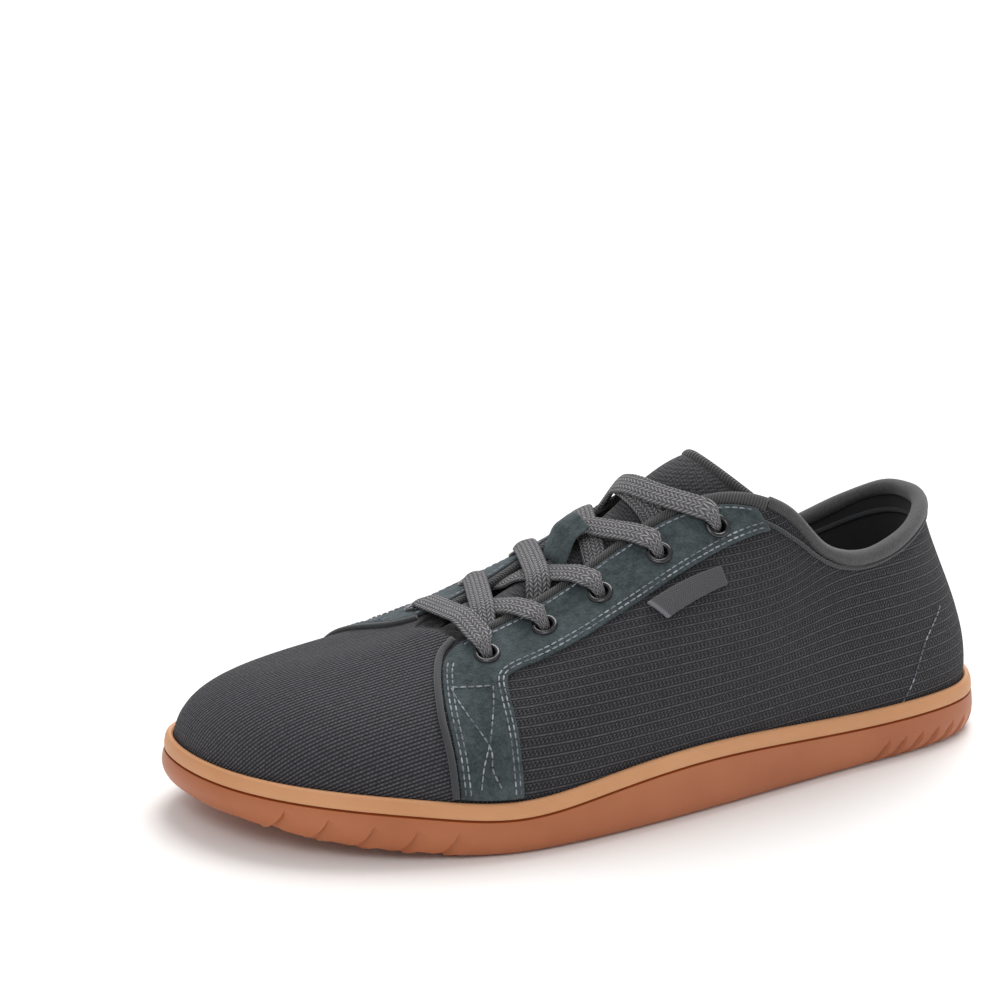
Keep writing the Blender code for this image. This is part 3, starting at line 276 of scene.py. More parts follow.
# The sunk field's corners, as shares of the length and of half the width
PANEL = (
    (0.078, 0.02), (0.086, 0.11), (0.175, 0.31), (0.252, 0.46), (0.262, 0.63), (0.305, 0.665), (0.385, 0.70),
    (0.455, 0.77), (0.545, 0.84), (0.625, 0.87), (0.690, 0.87), (0.740, 0.845), (0.785, 0.76), (0.832, 0.26),
    (0.847, -0.19), (0.855, -0.56), (0.840, -0.81), (0.760, -0.82), (0.680, -0.75), (0.607, -0.65),
    (0.535, -0.53), (0.473, -0.45), (0.407, -0.40), (0.353, -0.40), (0.290, -0.47), (0.217, -0.29),
    (0.147, -0.20), (0.107, -0.12),
)
# Where each rib meets the outline, as shares of the length: on the outer and on the inner side
TOE_RIBS = ((0.812, 0.868), (0.853, 0.893), (0.893, 0.917), (0.931, 0.941), (0.962, 0.966))
HEEL_RIB_COUNT, HEEL_RIB_FIRST, HEEL_RIB_PITCH, HEEL_RIBS_ACROSS = 8, 0.035, 0.0265, 3
HEEL_RIB_ENDS = ((0.08, 0.18, 0.26), (0.04, 0.28, 0.44))
RIB_DEPTH, RIB_MARGIN = 0.0013, 0.0007
RIB_STEEP, TOE_RIB_RAMP, HEEL_RIB_RAMP = 0.0004, 0.0090, 0.0016
TOE_RIB_BOW = 0.10
TOE_NOTCH, TOE_SLANT = 0.0100, 0.0160
HEEL_NOTCH, HEEL_SLANT = 0.0090, 0.0150
PYRAMID_STEPS = ((0.0101, -0.0075), (0.0093, 0.0032))
PYRAMID_TIP, PYRAMID_BLUNT, PYRAMID_REACH = 0.0002, 0.0006, 15
PAD_PLACE, PAD_SIZE, PAD_TURN = (0.425, -0.085), (0.026, 0.015), -11.0
SPRING_STEP = 0.004


def closed_curve(knots, values, where):
    """Reads a smooth closed curve, from 0 to 1 round, through the values at the knots."""
    count = len(knots)
    step = np.diff(np.append(knots, knots[0] + 1.0))
    slope = np.diff(np.vstack([values, values[:1]]), axis=0) / step[:, None]
    matrix = np.zeros((count, count))
    for i in range(count):
        matrix[i, i - 1] = step[i]
        matrix[i, i] = 2 * (step[i] + step[i - 1])
        matrix[i, (i + 1) % count] = step[i - 1]
    pull = step[:, None] * np.roll(slope, 1, axis=0) + np.roll(step, 1)[:, None] * slope
    tangent = np.linalg.solve(matrix, 3 * pull)
    where = np.mod(where, 1.0)
    i = np.clip(np.searchsorted(knots, where, side="right") - 1, 0, count - 1)
    j, h = (i + 1) % count, step[i][:, None]
    s = ((where - knots[i]) / step[i])[:, None]
    first = (2 * s**3 - 3 * s**2 + 1) * values[i] + (s**3 - 2 * s**2 + s) * h * tangent[i]
    return first + (3 * s**2 - 2 * s**3) * values[j] + (s**3 - s**2) * h * tangent[j]


def unit(vectors):
    return vectors / np.linalg.norm(vectors, axis=-1, keepdims=True)


corner_places = SECTIONS[:, :2] * [LENGTH, BALL_WIDTH / 2]
chords = np.linalg.norm(np.roll(corner_places, -1, axis=0) - corner_places, axis=1)
KNOTS = np.concatenate([[0], np.cumsum(chords)[:-1]]) / chords.sum()
outline_fine = closed_curve(KNOTS, SECTIONS, np.linspace(0, 1, 2000, endpoint=False))[:, :2]
OUTLINE_LOW, OUTLINE_HIGH = outline_fine.min(axis=0), outline_fine.max(axis=0)


def sections(turn):
    """The shoe's section at a turn: from 0 at the heel back, round by the outer side, to 1."""
    return closed_curve(KNOTS, SECTIONS, np.atleast_1d(np.asarray(turn, float)))


def outline(turn):
    """Points of the sole's widest outline, from the middle of the shoe."""
    share = (sections(turn)[:, :2] - OUTLINE_LOW) / (OUTLINE_HIGH - OUTLINE_LOW)
    return share * [LENGTH, BALL_WIDTH] - [LENGTH / 2, BALL_WIDTH / 2]


def inset(turn, distance):
    """Points of the outline moved inwards, and the outward way there."""
    turn = np.atleast_1d(np.asarray(turn, float))
    along = outline(turn + 0.002) - outline(turn - 0.002)
    way = unit(np.stack([-along[:, 1], along[:, 0]], axis=1))
    return outline(turn) - way * np.broadcast_to(distance, turn.shape)[:, None], way


def toe_lift(x):
    """How far the sole is lifted off the ground at a place along the shoe."""
    share = np.clip((np.asarray(x) + LENGTH / 2 - SPRING_START) / (LENGTH - SPRING_START), 0, None)
    return TOE_SPRING * share**1.6


def wall_top(turn):
    return sections(turn)[:, 2] * SOLE_SIDE


def from_heel(share):
    """The place along the shoe at a share of its length."""
    return share * LENGTH - LENGTH / 2


def lengths_along(points):
    """How far each point of a line is from its start, over the line."""
    return np.append(0, np.cumsum(np.linalg.norm(np.diff(points, axis=0), axis=1)))


def points_of(piece):
    flat = np.zeros(len(piece.data.vertices) * 3)
    piece.data.vertices.foreach_get("co", flat)
    return flat.reshape(-1, 3)


def lofted(name, columns, rows, place, finish, closed=False):
    """A grid laid out by place, which gets the shares along and across it; its UVs are in metres."""
    bpy.ops.object.select_all(action="DESELECT")
    bpy.ops.mesh.primitive_grid_add(x_subdivisions=columns, y_subdivisions=rows, size=2)
    sheet = bpy.context.object
    sheet.name = sheet.data.name = name
    mesh = sheet.data
    flat = points_of(sheet)
    points = place((flat[:, 0] + 1) / 2, (flat[:, 1] + 1) / 2)
    mesh.vertices.foreach_set("co", points.ravel())
    grid = points.reshape(rows + 1, columns + 1, 3)
    lengths = np.meshgrid(lengths_along(grid[rows // 2]), lengths_along(grid[:, columns // 2]))
    give_uvs(sheet, "UVMap", np.stack(lengths, axis=-1).reshape(-1, 2))
    mesh.materials.append(finish.material)
    if closed:
        edit(sheet, MERGE)
    mesh.shade_smooth()
    return sheet


def give_uvs(sheet, layer, values):
    """Writes a value for each point, two numbers, as a UV map."""
    mesh = sheet.data
    corners = np.zeros(len(mesh.loops), int)
    mesh.loops.foreach_get("vertex_index", corners)
    held = mesh.uv_layers.get(layer) or mesh.uv_layers.new(name=layer)
    held.data.foreach_set("uv", values[corners].ravel())


def edit(piece, *steps):
    """Takes a piece into edit mode, with all of it selected, for the steps given."""
    only(piece)
    bpy.ops.object.mode_set(mode="EDIT")
    bpy.ops.mesh.select_all(action="SELECT")
    for step, settings in steps:
        step(**settings)
    bpy.ops.object.mode_set(mode="OBJECT")


MERGE = (bpy.ops.mesh.remove_doubles, {"threshold": 1e-6})
FILL = (bpy.ops.mesh.fill_holes, {"sides": 0})
OUTWARD = (bpy.ops.mesh.normals_make_consistent, {"inside": False})


def worked(piece, kind, **settings):
    """Puts a modifier on a piece and applies it."""
    only(piece)
    step = piece.modifiers.new(kind.lower(), kind)
    for key, value in settings.items():
        setattr(step, key, value)
    bpy.ops.object.modifier_apply(modifier=step.name)
    return piece


def sole_side(s, t):
    """The place of the cup's side, still flat: the toe is lifted when its ribs are cut."""
    row = np.rint(t * (len(SIDE) - 1)).astype(int)
    inwards, share, drop = np.array(SIDE)[row].T
    place, _ = inset(s, inwards)
    wall = wall_top(s) - toe_lift(outline(s)[:, 0])
    height = np.where(share == 1.0, wall - drop, share * (wall - GROOVE_DROP - GROOVE_HALF))
    height = np.where(row == 0, SOLE_FLOOR, height)
    return np.column_stack([place, height])


def plain_solid(name, points, faces):
    """A closed solid from points and faces; a tool that cuts the tread."""
    mesh = bpy.data.meshes.new(name)
    mesh.from_pydata(np.asarray(points, float).tolist(), [], [list(face) for face in faces])
    solid = shown(name, mesh)
    edit(solid, OUTWARD)
    return solid


def prism(name, corners, low, high):
    """An upright solid on flat corners, between two heights."""
    count = len(corners)
    points = [(*corner, z) for z in (low, high) for corner in corners]
    faces = [(i, (i + 1) % count, count + (i + 1) % count, count + i) for i in range(count)]
    return plain_solid(name, points, faces + [range(count), range(2 * count - 1, count - 1, -1)])


def from_shares(rows):
    return np.array(rows) * [LENGTH, BALL_WIDTH / 2] - [LENGTH / 2, 0]


def pyramid_sheet():
    """A sheet of blunt four-sided pyramids, point down, on the tread's slanted lattice."""
    first, second = (np.array(step) for step in PYRAMID_STEPS)
    middle = from_shares([PAD_PLACE])[0]
    side = 2 * PYRAMID_REACH + 1
    steps = range(-PYRAMID_REACH, PYRAMID_REACH + 1)
    corners = [middle + i * first + j * second for i in steps for j in steps]
    points = [(*place, TREAD_DEPTH) for place in corners] + [(*place, 3 * TREAD_DEPTH) for place in corners]
    faces = []
    for i in range(side - 1):
        for j in range(side - 1):
            ring = [i * side + j, i * side + j + 1, (i + 1) * side + j + 1, (i + 1) * side + j]
            centre = corners[ring[0]] + (first + second) / 2
            start = len(points)
            for corner in ring:
                way = corners[corner] - centre
                points.append((*(centre + way / np.linalg.norm(way) * PYRAMID_BLUNT), PYRAMID_TIP))
            for k in range(4):
                faces.append((ring[k], ring[(k + 1) % 4], start + (k + 1) % 4, start + k))
            faces.append(range(start, start + 4))
    size = side * side
    rim = list(range(0, side - 1)) + list(range(side - 1, size - 1, side))
    rim += list(range(size - 1, size - side, -1)) + list(range(size - side, 0, -side))
    faces.append([size + k for k in rim])
    for k, a in enumerate(rim):
        b = rim[(k + 1) % len(rim)]
        faces.append((a, b, size + b, size + a))
    return plain_solid("pyramids", points, faces)


def tooth(name, path, ways, ups, steep, gentle, depths):
    """A sawtooth swept along a path: ways point to its steep side, ups to its point."""
    points = []
    for place, way, lift, depth in zip(path, ways, ups, depths):
        spread = (depth + RIB_MARGIN) / RIB_DEPTH
        base = place - lift * RIB_MARGIN
        points += [base + way * steep * spread, place + lift * depth, base - way * gentle * spread]
    count = len(path)
    faces = [(0, 1, 2), (3 * count - 1, 3 * count - 2, 3 * count - 3)]
    for i in range(count - 1):
        for k in range(3):
            m = (k + 1) % 3
            faces.append((3 * i + k, 3 * i + m, 3 * i + 3 + m, 3 * i + 3 + k))
    return plain_solid(name, points, faces)


def turn_at(along, outer):
    """The turn of the outline at a share of the shoe's length, on its outer or inner side."""
    turns = np.linspace(0.0, 0.5, 800) if outer else np.linspace(1.0, 0.5, 800)
    places = outline(turns)[:, 0]
    reach = places.argmax() + 1
    return float(np.interp(from_heel(along), places[:reach], turns[:reach]))


def under_groove(name, start, end, bow, steep, gentle):
    """A groove on the flat underside between two places, bowed towards the toe."""
    shares = np.linspace(-0.02, 1.02, 14)
    path = np.array([start + (end - start) * s + [4 * bow * s * (1 - s), 0] for s in shares])
    along = unit(np.gradient(path, axis=0))
    ways = np.column_stack([-along[:, 1], along[:, 0], np.zeros(len(path))])
    ways *= np.sign(ways[:, 0].sum())
    path = np.column_stack([path, np.zeros(len(path))])
    ups = np.tile([0.0, 0.0, 1.0], (len(path), 1))
    return tooth(name, path, ways, ups, steep, gentle, [RIB_DEPTH] * len(path))


def side_groove(name, turn, slant, height, steep, gentle):
    """The same groove carried up the side: it leans to the heel, turns upright and runs out."""
    angles = np.linspace(0, math.pi / 2, 8)
    turns = turn + slant * np.sin(angles)
    heights = height * (1 - np.cos(angles))
    side_heights = (0.0, 0.0006, 0.0018, 0.0036, 0.0060, 0.0100)
    side_insets = (0.0034, 0.0024, 0.0014, 0.0006, 0.0, 0.0)
    place, out = inset(turns, np.interp(heights, side_heights, side_insets))
    path = np.column_stack([place, heights])
    lean = np.interp(heights, [0, 0.0035], [0.8, 0.0])
    outward = unit(np.column_stack([out * (1 - 0.6 * lean[:, None]), -lean]))
    travel = unit(np.gradient(path, axis=0))
    ways = unit(np.cross(travel, outward))
    ways *= np.sign(ways[:, 0].sum())
    depths = RIB_DEPTH * np.interp(angles, [0, 1.15, math.pi / 2], [1.0, 0.9, -0.4])
    return tooth(name, path, ways, -outward, steep, gentle, depths)


gum = Finish("gum_rubber", (0.39, 0.132, 0.049), 0.46, Subsurface_Weight=0.25, Subsurface_Scale=0.004,
             Subsurface_Radius=(1.0, 0.35, 0.12), Coat_Weight=0.08, Coat_Roughness=0.35)
gum_height = gum.sum("ADD", gum.noise(55.0), gum.sum("MULTIPLY", gum.noise(900.0, 2.0), 0.35))
cloud = gum.mottle(28.0, 4.0, 0.3, 0.7)
gum.give("Base Color", gum.blend(cloud, (0.375, 0.108, 0.033), (0.44, 0.142, 0.050)))
gum.give("Roughness", gum.between(gum.noise(40.0), 0.40, 0.55))
gum.give("Normal", gum.relief(gum_height, 0.00006, 0.5))
# The lip band above the side groove: the same gum painted lighter, a painted highlight where the band faces
# up.
band = Finish("gum_band_painted_highlight", (0.62, 0.33, 0.15), 0.5, Subsurface_Weight=0.2, Subsurface_Scale=0.004,
              Subsurface_Radius=(1.0, 0.4, 0.15))
band_cloud = band.mottle(30.0, 4.0, 0.3, 0.7)
band.give("Base Color", band.blend(band_cloud, (0.55, 0.255, 0.110), (0.62, 0.310, 0.145)))
band.give("Normal", band.relief(band.noise(700.0, 2.0), 0.00004, 0.4))
# The side groove: the gum painted darker and redder, painted shade in the groove.
groove_shade = Finish("gum_groove_painted_shade", (0.50, 0.13, 0.02), 0.6)
groove_shade_mottle = groove_shade.noise(80.0)
groove_shade.give("Base Color", groove_shade.blend(groove_shade_mottle, (0.30, 0.060, 0.008), (0.38, 0.085, 0.014)))

outsole = lofted("outsole_rubber", ROUND_COLUMNS, len(SIDE) - 1, sole_side, gum)
outsole.data.materials.append(groove_shade.material)
outsole.data.materials.append(band.material)
# The rows above the groove take the band's painted highlight, and the groove's own rows take its painted
# shade.
for face in outsole.data.polygons:
    row = face.index // ROUND_COLUMNS
    if row < GROOVE_ROWS[0]:
        face.material_index = 2
    elif row < GROOVE_ROWS[1]:
        face.material_index = 1
edit(outsole, MERGE, FILL, OUTWARD)

pad_half = np.array(PAD_SIZE) / 2
pad_cut = pad_half[1] * 0.62
pad_corners = []
for sign_x, sign_y in ((1, 1), (-1, 1), (-1, -1), (1, -1)):
    long_end = (sign_x * (pad_half[0] - pad_cut), sign_y * pad_half[1])
    wide_end = (sign_x * pad_half[0], sign_y * (pad_half[1] - pad_cut))
    pad_corners += [wide_end, long_end] if sign_x == sign_y else [long_end, wide_end]
turned = Matrix.Rotation(math.radians(PAD_TURN), 2)
pad_corners = [np.array(turned @ Vector(corner)) + from_shares([PAD_PLACE])[0] for corner in pad_corners]
panel = prism("panel", from_shares(PANEL), -TREAD_DEPTH, 2 * TREAD_DEPTH)
tread_tools = [pyramid_sheet(), prism("pad", pad_corners, -2 * TREAD_DEPTH, 2.5 * TREAD_DEPTH)]
for tool in tread_tools:
    worked(panel, "BOOLEAN", operation="DIFFERENCE", object=tool, solver="EXACT")

rib_tools = []
toe_notch = (TOE_NOTCH, RIB_STEEP, TOE_RIB_RAMP)
for k, (outer_along, inner_along) in enumerate(TOE_RIBS):
    outer, inner = turn_at(outer_along, True), turn_at(inner_along, False)
    start, end = outline(outer)[0], outline(inner)[0]
    bow = TOE_RIB_BOW * np.linalg.norm(end - start)
    rib_tools.append(under_groove(f"toe_groove_{k}", start, end, bow, RIB_STEEP, TOE_RIB_RAMP))
    rib_tools.append(side_groove(f"toe_notch_{k}", outer, -TOE_SLANT, *toe_notch))
    rib_tools.append(side_groove(f"toe_inner_notch_{k}", inner, TOE_SLANT, *toe_notch))
heel_notch = (HEEL_NOTCH, HEEL_RIB_RAMP, HEEL_RIB_RAMP)
for k in range(HEEL_RIB_COUNT):
    share = HEEL_RIB_FIRST + k * HEEL_RIB_PITCH
    outer, inner = turn_at(share, True), turn_at(share, False)
    start, end = outline(outer)[0], outline(inner)[0]
    if k >= HEEL_RIBS_ACROSS:
        end = from_shares([(share, np.interp(share, *HEEL_RIB_ENDS))])[0]
    rib_tools.append(under_groove(f"heel_groove_{k}", start, end, 0.0, HEEL_RIB_RAMP, HEEL_RIB_RAMP))
    rib_tools.append(side_groove(f"heel_notch_{k}", outer, -HEEL_SLANT, *heel_notch))
    if k < HEEL_RIBS_ACROSS:
        rib_tools.append(side_groove(f"heel_inner_notch_{k}", inner, HEEL_SLANT, *heel_notch))
for tool in [panel, *rib_tools]:
    worked(outsole, "BOOLEAN", operation="DIFFERENCE", object=tool, solver="EXACT")
for tool in [panel, *rib_tools, *tread_tools]:
    bpy.data.objects.remove(tool)

for x in np.arange(SPRING_START - LENGTH / 2, LENGTH / 2, SPRING_STEP):
    cut = {"plane_co": (float(x), 0, 0), "plane_no": (1, 0, 0), "threshold": 1e-6}
    edit(outsole, (bpy.ops.mesh.bisect, cut))
for vertex in outsole.data.vertices:
    vertex.co.z += float(toe_lift(vertex.co.x))
only(outsole)
bpy.ops.object.shade_smooth_by_angle(angle=SOLE_CREASE)
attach(outsole, "root")
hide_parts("outsole")


# Insole: a thin foam footbed with a black cloth face, laid loose on the cup's floor. The CAD sheet has its
# true shape, so it only gets its cloth here.
footbed = Finish("insole_foam", (0.025, 0.025, 0.028), 0.9, Sheen_Weight=0.3)
footbed_fade = footbed.noise(60.0, 5.0)
footbed.give("Base Color", footbed.blend(footbed_fade, (0.018, 0.018, 0.020), (0.034, 0.034, 0.038)))
footbed.give("Normal", footbed.relief(footbed.noise(1500.0), 0.0002, 0.6))
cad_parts["insole"].data.materials.clear()
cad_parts["insole"].data.materials.append(footbed.material)


# Upper: a sock of charcoal knit, lasted over a foot-shaped last and cemented into the cup. The vamp's ribs
# run to the toe; the quarters have level ribs and rows of small holes. It is lined in smooth black cloth.
UPPER_WALL = 0.0018
FEATHER_INSET = LIP_INSET + LIP + GAP
UPPER_COLUMNS, UPPER_ROWS = 260, 56
FOOT_SHARE = 0.10
GIRTH_SLICES, GIRTH_ANGLES = 90, 60
VAMP_RIB, VAMP_STITCH, VAMP_FURROW = 0.00115, 0.00130, 0.00050
QUARTER_PERIOD, HOLE_PITCH, HOLE_RADIUS = 0.0034, 0.0014, 0.00052
# Where the quarter's fine lines and rows of holes run, as shares of its pattern; each row of holes has its
# shift
FINE_LINES, FINE_LINE, HOLE_ROWS = (0.62, 0.93), 0.00046, ((0.16, 0.0), (0.38, 0.5))
# The seam between vamp and quarter: along the shoe, and up the upper
SEAM = (
    (0.7745, 0.015), (0.7750, 0.140), (0.7735, 0.320), (0.7690, 0.475), (0.7545, 0.690), (0.7350, 0.865),
    (0.7120, 0.975),
)
# Soft creases where the cloth gives: turn, share, how far round and up it reaches, and its height
CREASES = (
    (0.330, 0.45, 0.030, 0.16, -0.0006), (0.300, 0.30, 0.020, 0.20, 0.0004),
    (0.235, 0.62, 0.026, 0.14, -0.0007), (0.205, 0.42, 0.020, 0.14, 0.0005),
    (0.765, 0.62, 0.026, 0.14, -0.0007), (0.670, 0.45, 0.030, 0.16, -0.0006),
    (0.140, 0.55, 0.018, 0.20, -0.0004), (0.455, 0.62, 0.022, 0.12, -0.0003),
    (0.545, 0.60, 0.024, 0.12, -0.0003),
)


def bare_upper(turn, share):
    """Points of the upper's outer face: share runs from 0 at the sole to 1 at the cut edge."""
    cut_along, cut_aside, heel_share, instep_share, rise, fall, low_pull, high_pull = sections(turn).T[3:]
    base, way = inset(turn, FEATHER_INSET)
    start = np.column_stack([base, wall_top(turn)])
    cut_height = heel_share * HEEL_HEIGHT + instep_share * INSTEP_HEIGHT
    end = np.column_stack([from_heel(cut_along), cut_aside * BALL_WIDTH / 2, cut_height])
    rise, fall = np.radians(rise), np.radians(fall)
    inward = np.column_stack([-way * np.cos(rise)[:, None], np.sin(rise)])
    heading = unit(start[:, :2] - end[:, :2] + way * 0.010)
    outward = np.column_stack([heading * np.cos(fall)[:, None], -np.sin(fall)])
    chord = np.linalg.norm(end - start, axis=1, keepdims=True)
    first, last = start + inward * chord * low_pull[:, None], end + outward * chord * high_pull[:, None]
    s = share[:, None]
    return (1 - s) ** 3 * start + 3 * s * (1 - s) ** 2 * first + 3 * s**2 * (1 - s) * last + s**3 * end


def upper_normals(turn, share):
    """Outward ways of the upper's face."""
    step = 0.004
    round_way = bare_upper(turn + step, share) - bare_upper(turn - step, share)
    up_way = bare_upper(turn, np.clip(share + step, 0, 1)) - bare_upper(turn, np.clip(share - step, 0, 1))
    return unit(np.cross(up_way, round_way))


def upper_face(turn, share, lift=0.0):
    """The upper's face with its creases, raised by lift."""
    spread = np.broadcast_arrays(np.asarray(turn, float), np.asarray(share, float), lift)
    turn, share, lift = (values.ravel() for values in spread)
    height = lift.copy()
    for at_turn, at_share, reach_round, reach_up, depth in CREASES:
        away = (np.mod(turn - at_turn + 0.5, 1) - 0.5) / reach_round
        height += depth * np.exp(-(away**2) - ((share - at_share) / reach_up) ** 2)
    return bare_upper(turn, share) + upper_normals(turn, share) * height[:, None]


def upper_sheet(s, t):
    """From the upper's foot inside the cup to its cut edge."""
    share = np.clip((t - FOOT_SHARE) / (1 - FOOT_SHARE), 0, 1)
    points = upper_face(s, share)
    foot, _ = inset(s, FEATHER_INSET)
    foot_height = SOLE_FLOOR + toe_lift(foot[:, 0]) + GAP
    low = t < FOOT_SHARE
    mix = np.clip(t / FOOT_SHARE, 0, 1)
    points[low, 2] = (foot_height + (wall_top(s) - foot_height) * mix)[low]
    return points


def girth_lengths(points):
    """Each point's distance over the cloth from the crest, at its own place along the shoe."""
    grid = points.reshape(UPPER_ROWS + 1, UPPER_COLUMNS + 1, 3)
    slices = np.linspace(points[:, 0].min() + 0.001, points[:, 0].max() - 0.0006, GIRTH_SLICES)
    angles = np.linspace(0, np.pi, GIRTH_ANGLES + 1)
    tables = []
    for x in slices:
        found = []
        for a, b in ((grid[:, :-1], grid[:, 1:]), (grid[:-1], grid[1:])):
            a, b = a.reshape(-1, 3), b.reshape(-1, 3)
            hit = (a[:, 0] - x) * (b[:, 0] - x) < 0
            share = ((x - a[hit, 0]) / (b[hit, 0] - a[hit, 0]))[:, None]
            found.append(a[hit] + (b[hit] - a[hit]) * share)
        found = np.vstack(found)[:, 1:]
        middle = np.array([(found[:, 0].min() + found[:, 0].max()) / 2, SOLE_FLOOR])
        angle = np.arctan2(found[:, 1] - middle[1], found[:, 0] - middle[0])
        order = np.argsort(angle)
        radius = np.interp(angles, angle[order], np.linalg.norm(found - middle, axis=1)[order])
        curve = np.column_stack([np.cos(angles), np.sin(angles)]) * radius[:, None]
        length = lengths_along(curve)
        tables.append([*(length - length[GIRTH_ANGLES // 2]), middle[0]])
    tables = np.array(tables)
    middles = np.interp(points[:, 0], slices, tables[:, -1])
    angle = np.arctan2(points[:, 2] - SOLE_FLOOR, points[:, 1] - middles).clip(0, np.pi)
    place = np.interp(points[:, 0], slices, np.arange(len(slices)))
    k = np.clip(place.astype(int), 0, len(slices) - 2)
    spot = angle / np.pi * GIRTH_ANGLES
    m = np.clip(spot.astype(int), 0, GIRTH_ANGLES - 1)
    f, g = place - k, spot - m
    low = tables[k, m] * (1 - g) + tables[k, m + 1] * g
    high = tables[k + 1, m] * (1 - g) + tables[k + 1, m + 1] * g
    return low * (1 - f) + high * f


def ridge(finish, across, period, at, wide):
    """1 on a line that repeats across the cloth, falling to 0 at its edge."""
    place = finish.sum("SUBTRACT", finish.sum("DIVIDE", across, period), at)
    return finish.fade(finish.sum("PINGPONG", place, 0.5), 0.0, wide / period)


def holes(finish, along, across, period, at, shift):
    """1 in small round holes on a row that repeats across the cloth."""
    squares = []
    for place, pitch, moved in ((along, HOLE_PITCH, shift), (across, period, 0.5 - at)):
        spot = finish.sum("FRACT", finish.sum("ADD", finish.sum("DIVIDE", place, pitch), moved))
        away = finish.sum("MULTIPLY", finish.sum("SUBTRACT", spot, 0.5), pitch)
        squares.append(finish.sum("MULTIPLY", away, away))
    return finish.fade(finish.sum("SQRT", finish.sum("ADD", *squares)), HOLE_RADIUS * 0.5, HOLE_RADIUS * 1.3)


def stitches(finish, along, across, stitch, rib, slant):
    """Small slanted stitches that follow each other along a rib, from 0 to 1."""
    leaning = finish.sum("FRACT", finish.sum("DIVIDE", across, rib))
    turned = finish.sum("MULTIPLY_ADD", leaning, slant, finish.sum("DIVIDE", along, stitch))
    return finish.sum("MULTIPLY_ADD", finish.ripple(turned, 1.0), 0.5, 0.5)


def knitted(finish, dark, stitch, depth):
    """The height of the knit: its stitches, sunk to nothing where a line or a hole is dark."""
    raised = finish.sum("MULTIPLY_ADD", stitch, depth, 1 - depth)
    return finish.sum("MULTIPLY", finish.sum("SUBTRACT", 1.0, dark), raised)


yarn = Finish("charcoal_knit", (0.03, 0.031, 0.035), 0.9, Sheen_Weight=0.06, Sheen_Roughness=0.5)
vamp_along, vamp_across = yarn.cloth("Vamp")
quarter_along, quarter_up = yarn.cloth("Quarter")
seam_side, _ = yarn.cloth("Seam")
is_vamp = yarn.sum("GREATER_THAN", seam_side, 0.0)
furrow = ridge(yarn, vamp_across, VAMP_RIB, 0.0, VAMP_FURROW)
vamp_stitch = stitches(yarn, vamp_along, vamp_across, VAMP_STITCH, VAMP_RIB, 0.45)
vamp_height = knitted(yarn, furrow, vamp_stitch, 0.45)
fine_lines = [ridge(yarn, quarter_up, QUARTER_PERIOD, at, FINE_LINE) for at in FINE_LINES]
hole_rows = [holes(yarn, quarter_along, quarter_up, QUARTER_PERIOD, *row) for row in HOLE_ROWS]
dark = yarn.sum("MAXIMUM", yarn.sum("MAXIMUM", *fine_lines), yarn.sum("MAXIMUM", *hole_rows))
quarter_stitch = stitches(yarn, quarter_along, quarter_up, HOLE_PITCH, QUARTER_PERIOD / 3, 0.5)
quarter_height = knitted(yarn, dark, quarter_stitch, 0.3)
quarter_part = yarn.sum("MULTIPLY", quarter_height, yarn.sum("SUBTRACT", 1.0, is_vamp))
height = yarn.sum("ADD", yarn.sum("MULTIPLY", vamp_height, is_vamp), quarter_part)
fleck = yarn.noise(1100.0, 2.0)
# The yarn's colour: its own random flecks, darkened with the knit's relief by painted shade in the furrows
# between the vamp's ribs, between stitches, and in the quarter's sunk fine lines and holes.
tone = yarn.sum("MULTIPLY", yarn.sum("POWER", height, 1.3), yarn.between(fleck, 0.45, 1.50, 0.25, 0.75))
bright = yarn.blend(is_vamp, (0.094, 0.093, 0.112), (0.105, 0.103, 0.122))
yarn.give("Base Color", yarn.blend(tone, (0.0035, 0.0038, 0.0048), bright))
yarn.give("Normal", yarn.relief(height, 0.0008, 0.9))

lining = Finish("black_lining", (0.014, 0.014, 0.015), 0.8, Sheen_Weight=0.3)
lining.give("Base Color", lining.blend(lining.noise(90.0, 4.0), (0.010, 0.010, 0.011), (0.020, 0.020, 0.022)))
lining.give("Normal", lining.relief(lining.noise(2200.0, 2.0), 0.0002, 0.5))

upper = lofted("upper_knit", UPPER_COLUMNS, UPPER_ROWS, upper_sheet, yarn)
place = points_of(upper)
ups = np.repeat(np.linspace(0, 1, UPPER_ROWS + 1), UPPER_COLUMNS + 1)
shares = (ups - FOOT_SHARE) / (1 - FOOT_SHARE)
give_uvs(upper, "Vamp", np.column_stack([(place[:, 0] - place[:, 2]) * 0.85, girth_lengths(place) + 0.2]))
ribs = place.reshape(UPPER_ROWS + 1, UPPER_COLUMNS + 1, 3)
steps_up = np.linalg.norm(np.diff(ribs, axis=0), axis=2)
climb = np.vstack([np.zeros(UPPER_COLUMNS + 1), np.cumsum(steps_up, axis=0)]).ravel()
perimeter = lengths_along(outline(np.linspace(0, 1, UPPER_COLUMNS + 1)))
slope_round = np.interp(place[:, 0], [-LENGTH / 2, LENGTH / 2], [-0.004, 0.004])
level_rows = np.column_stack([np.tile(perimeter, UPPER_ROWS + 1), climb + slope_round + SOLE_FLOOR])
give_uvs(upper, "Quarter", level_rows)
seam_along = from_heel(np.interp(shares, [row[1] for row in SEAM], [row[0] for row in SEAM]))
give_uvs(upper, "Seam", np.column_stack([place[:, 0] - seam_along, shares]))
edit(upper, MERGE, OUTWARD)
upper.data.materials.append(lining.material)
worked(upper, "SOLIDIFY", thickness=UPPER_WALL, offset=-1, material_offset=1, material_offset_rim=1)
upper.data.shade_smooth()

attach(upper, "root")
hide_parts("upper")


# Eyestays: two pieces of dark suede that carry the eyelets, each with a leg down to the sole, cut to shape
# and sewn flat on the knit. Their edges are cut clean and their nap is brushed.
SUEDE = 0.0011
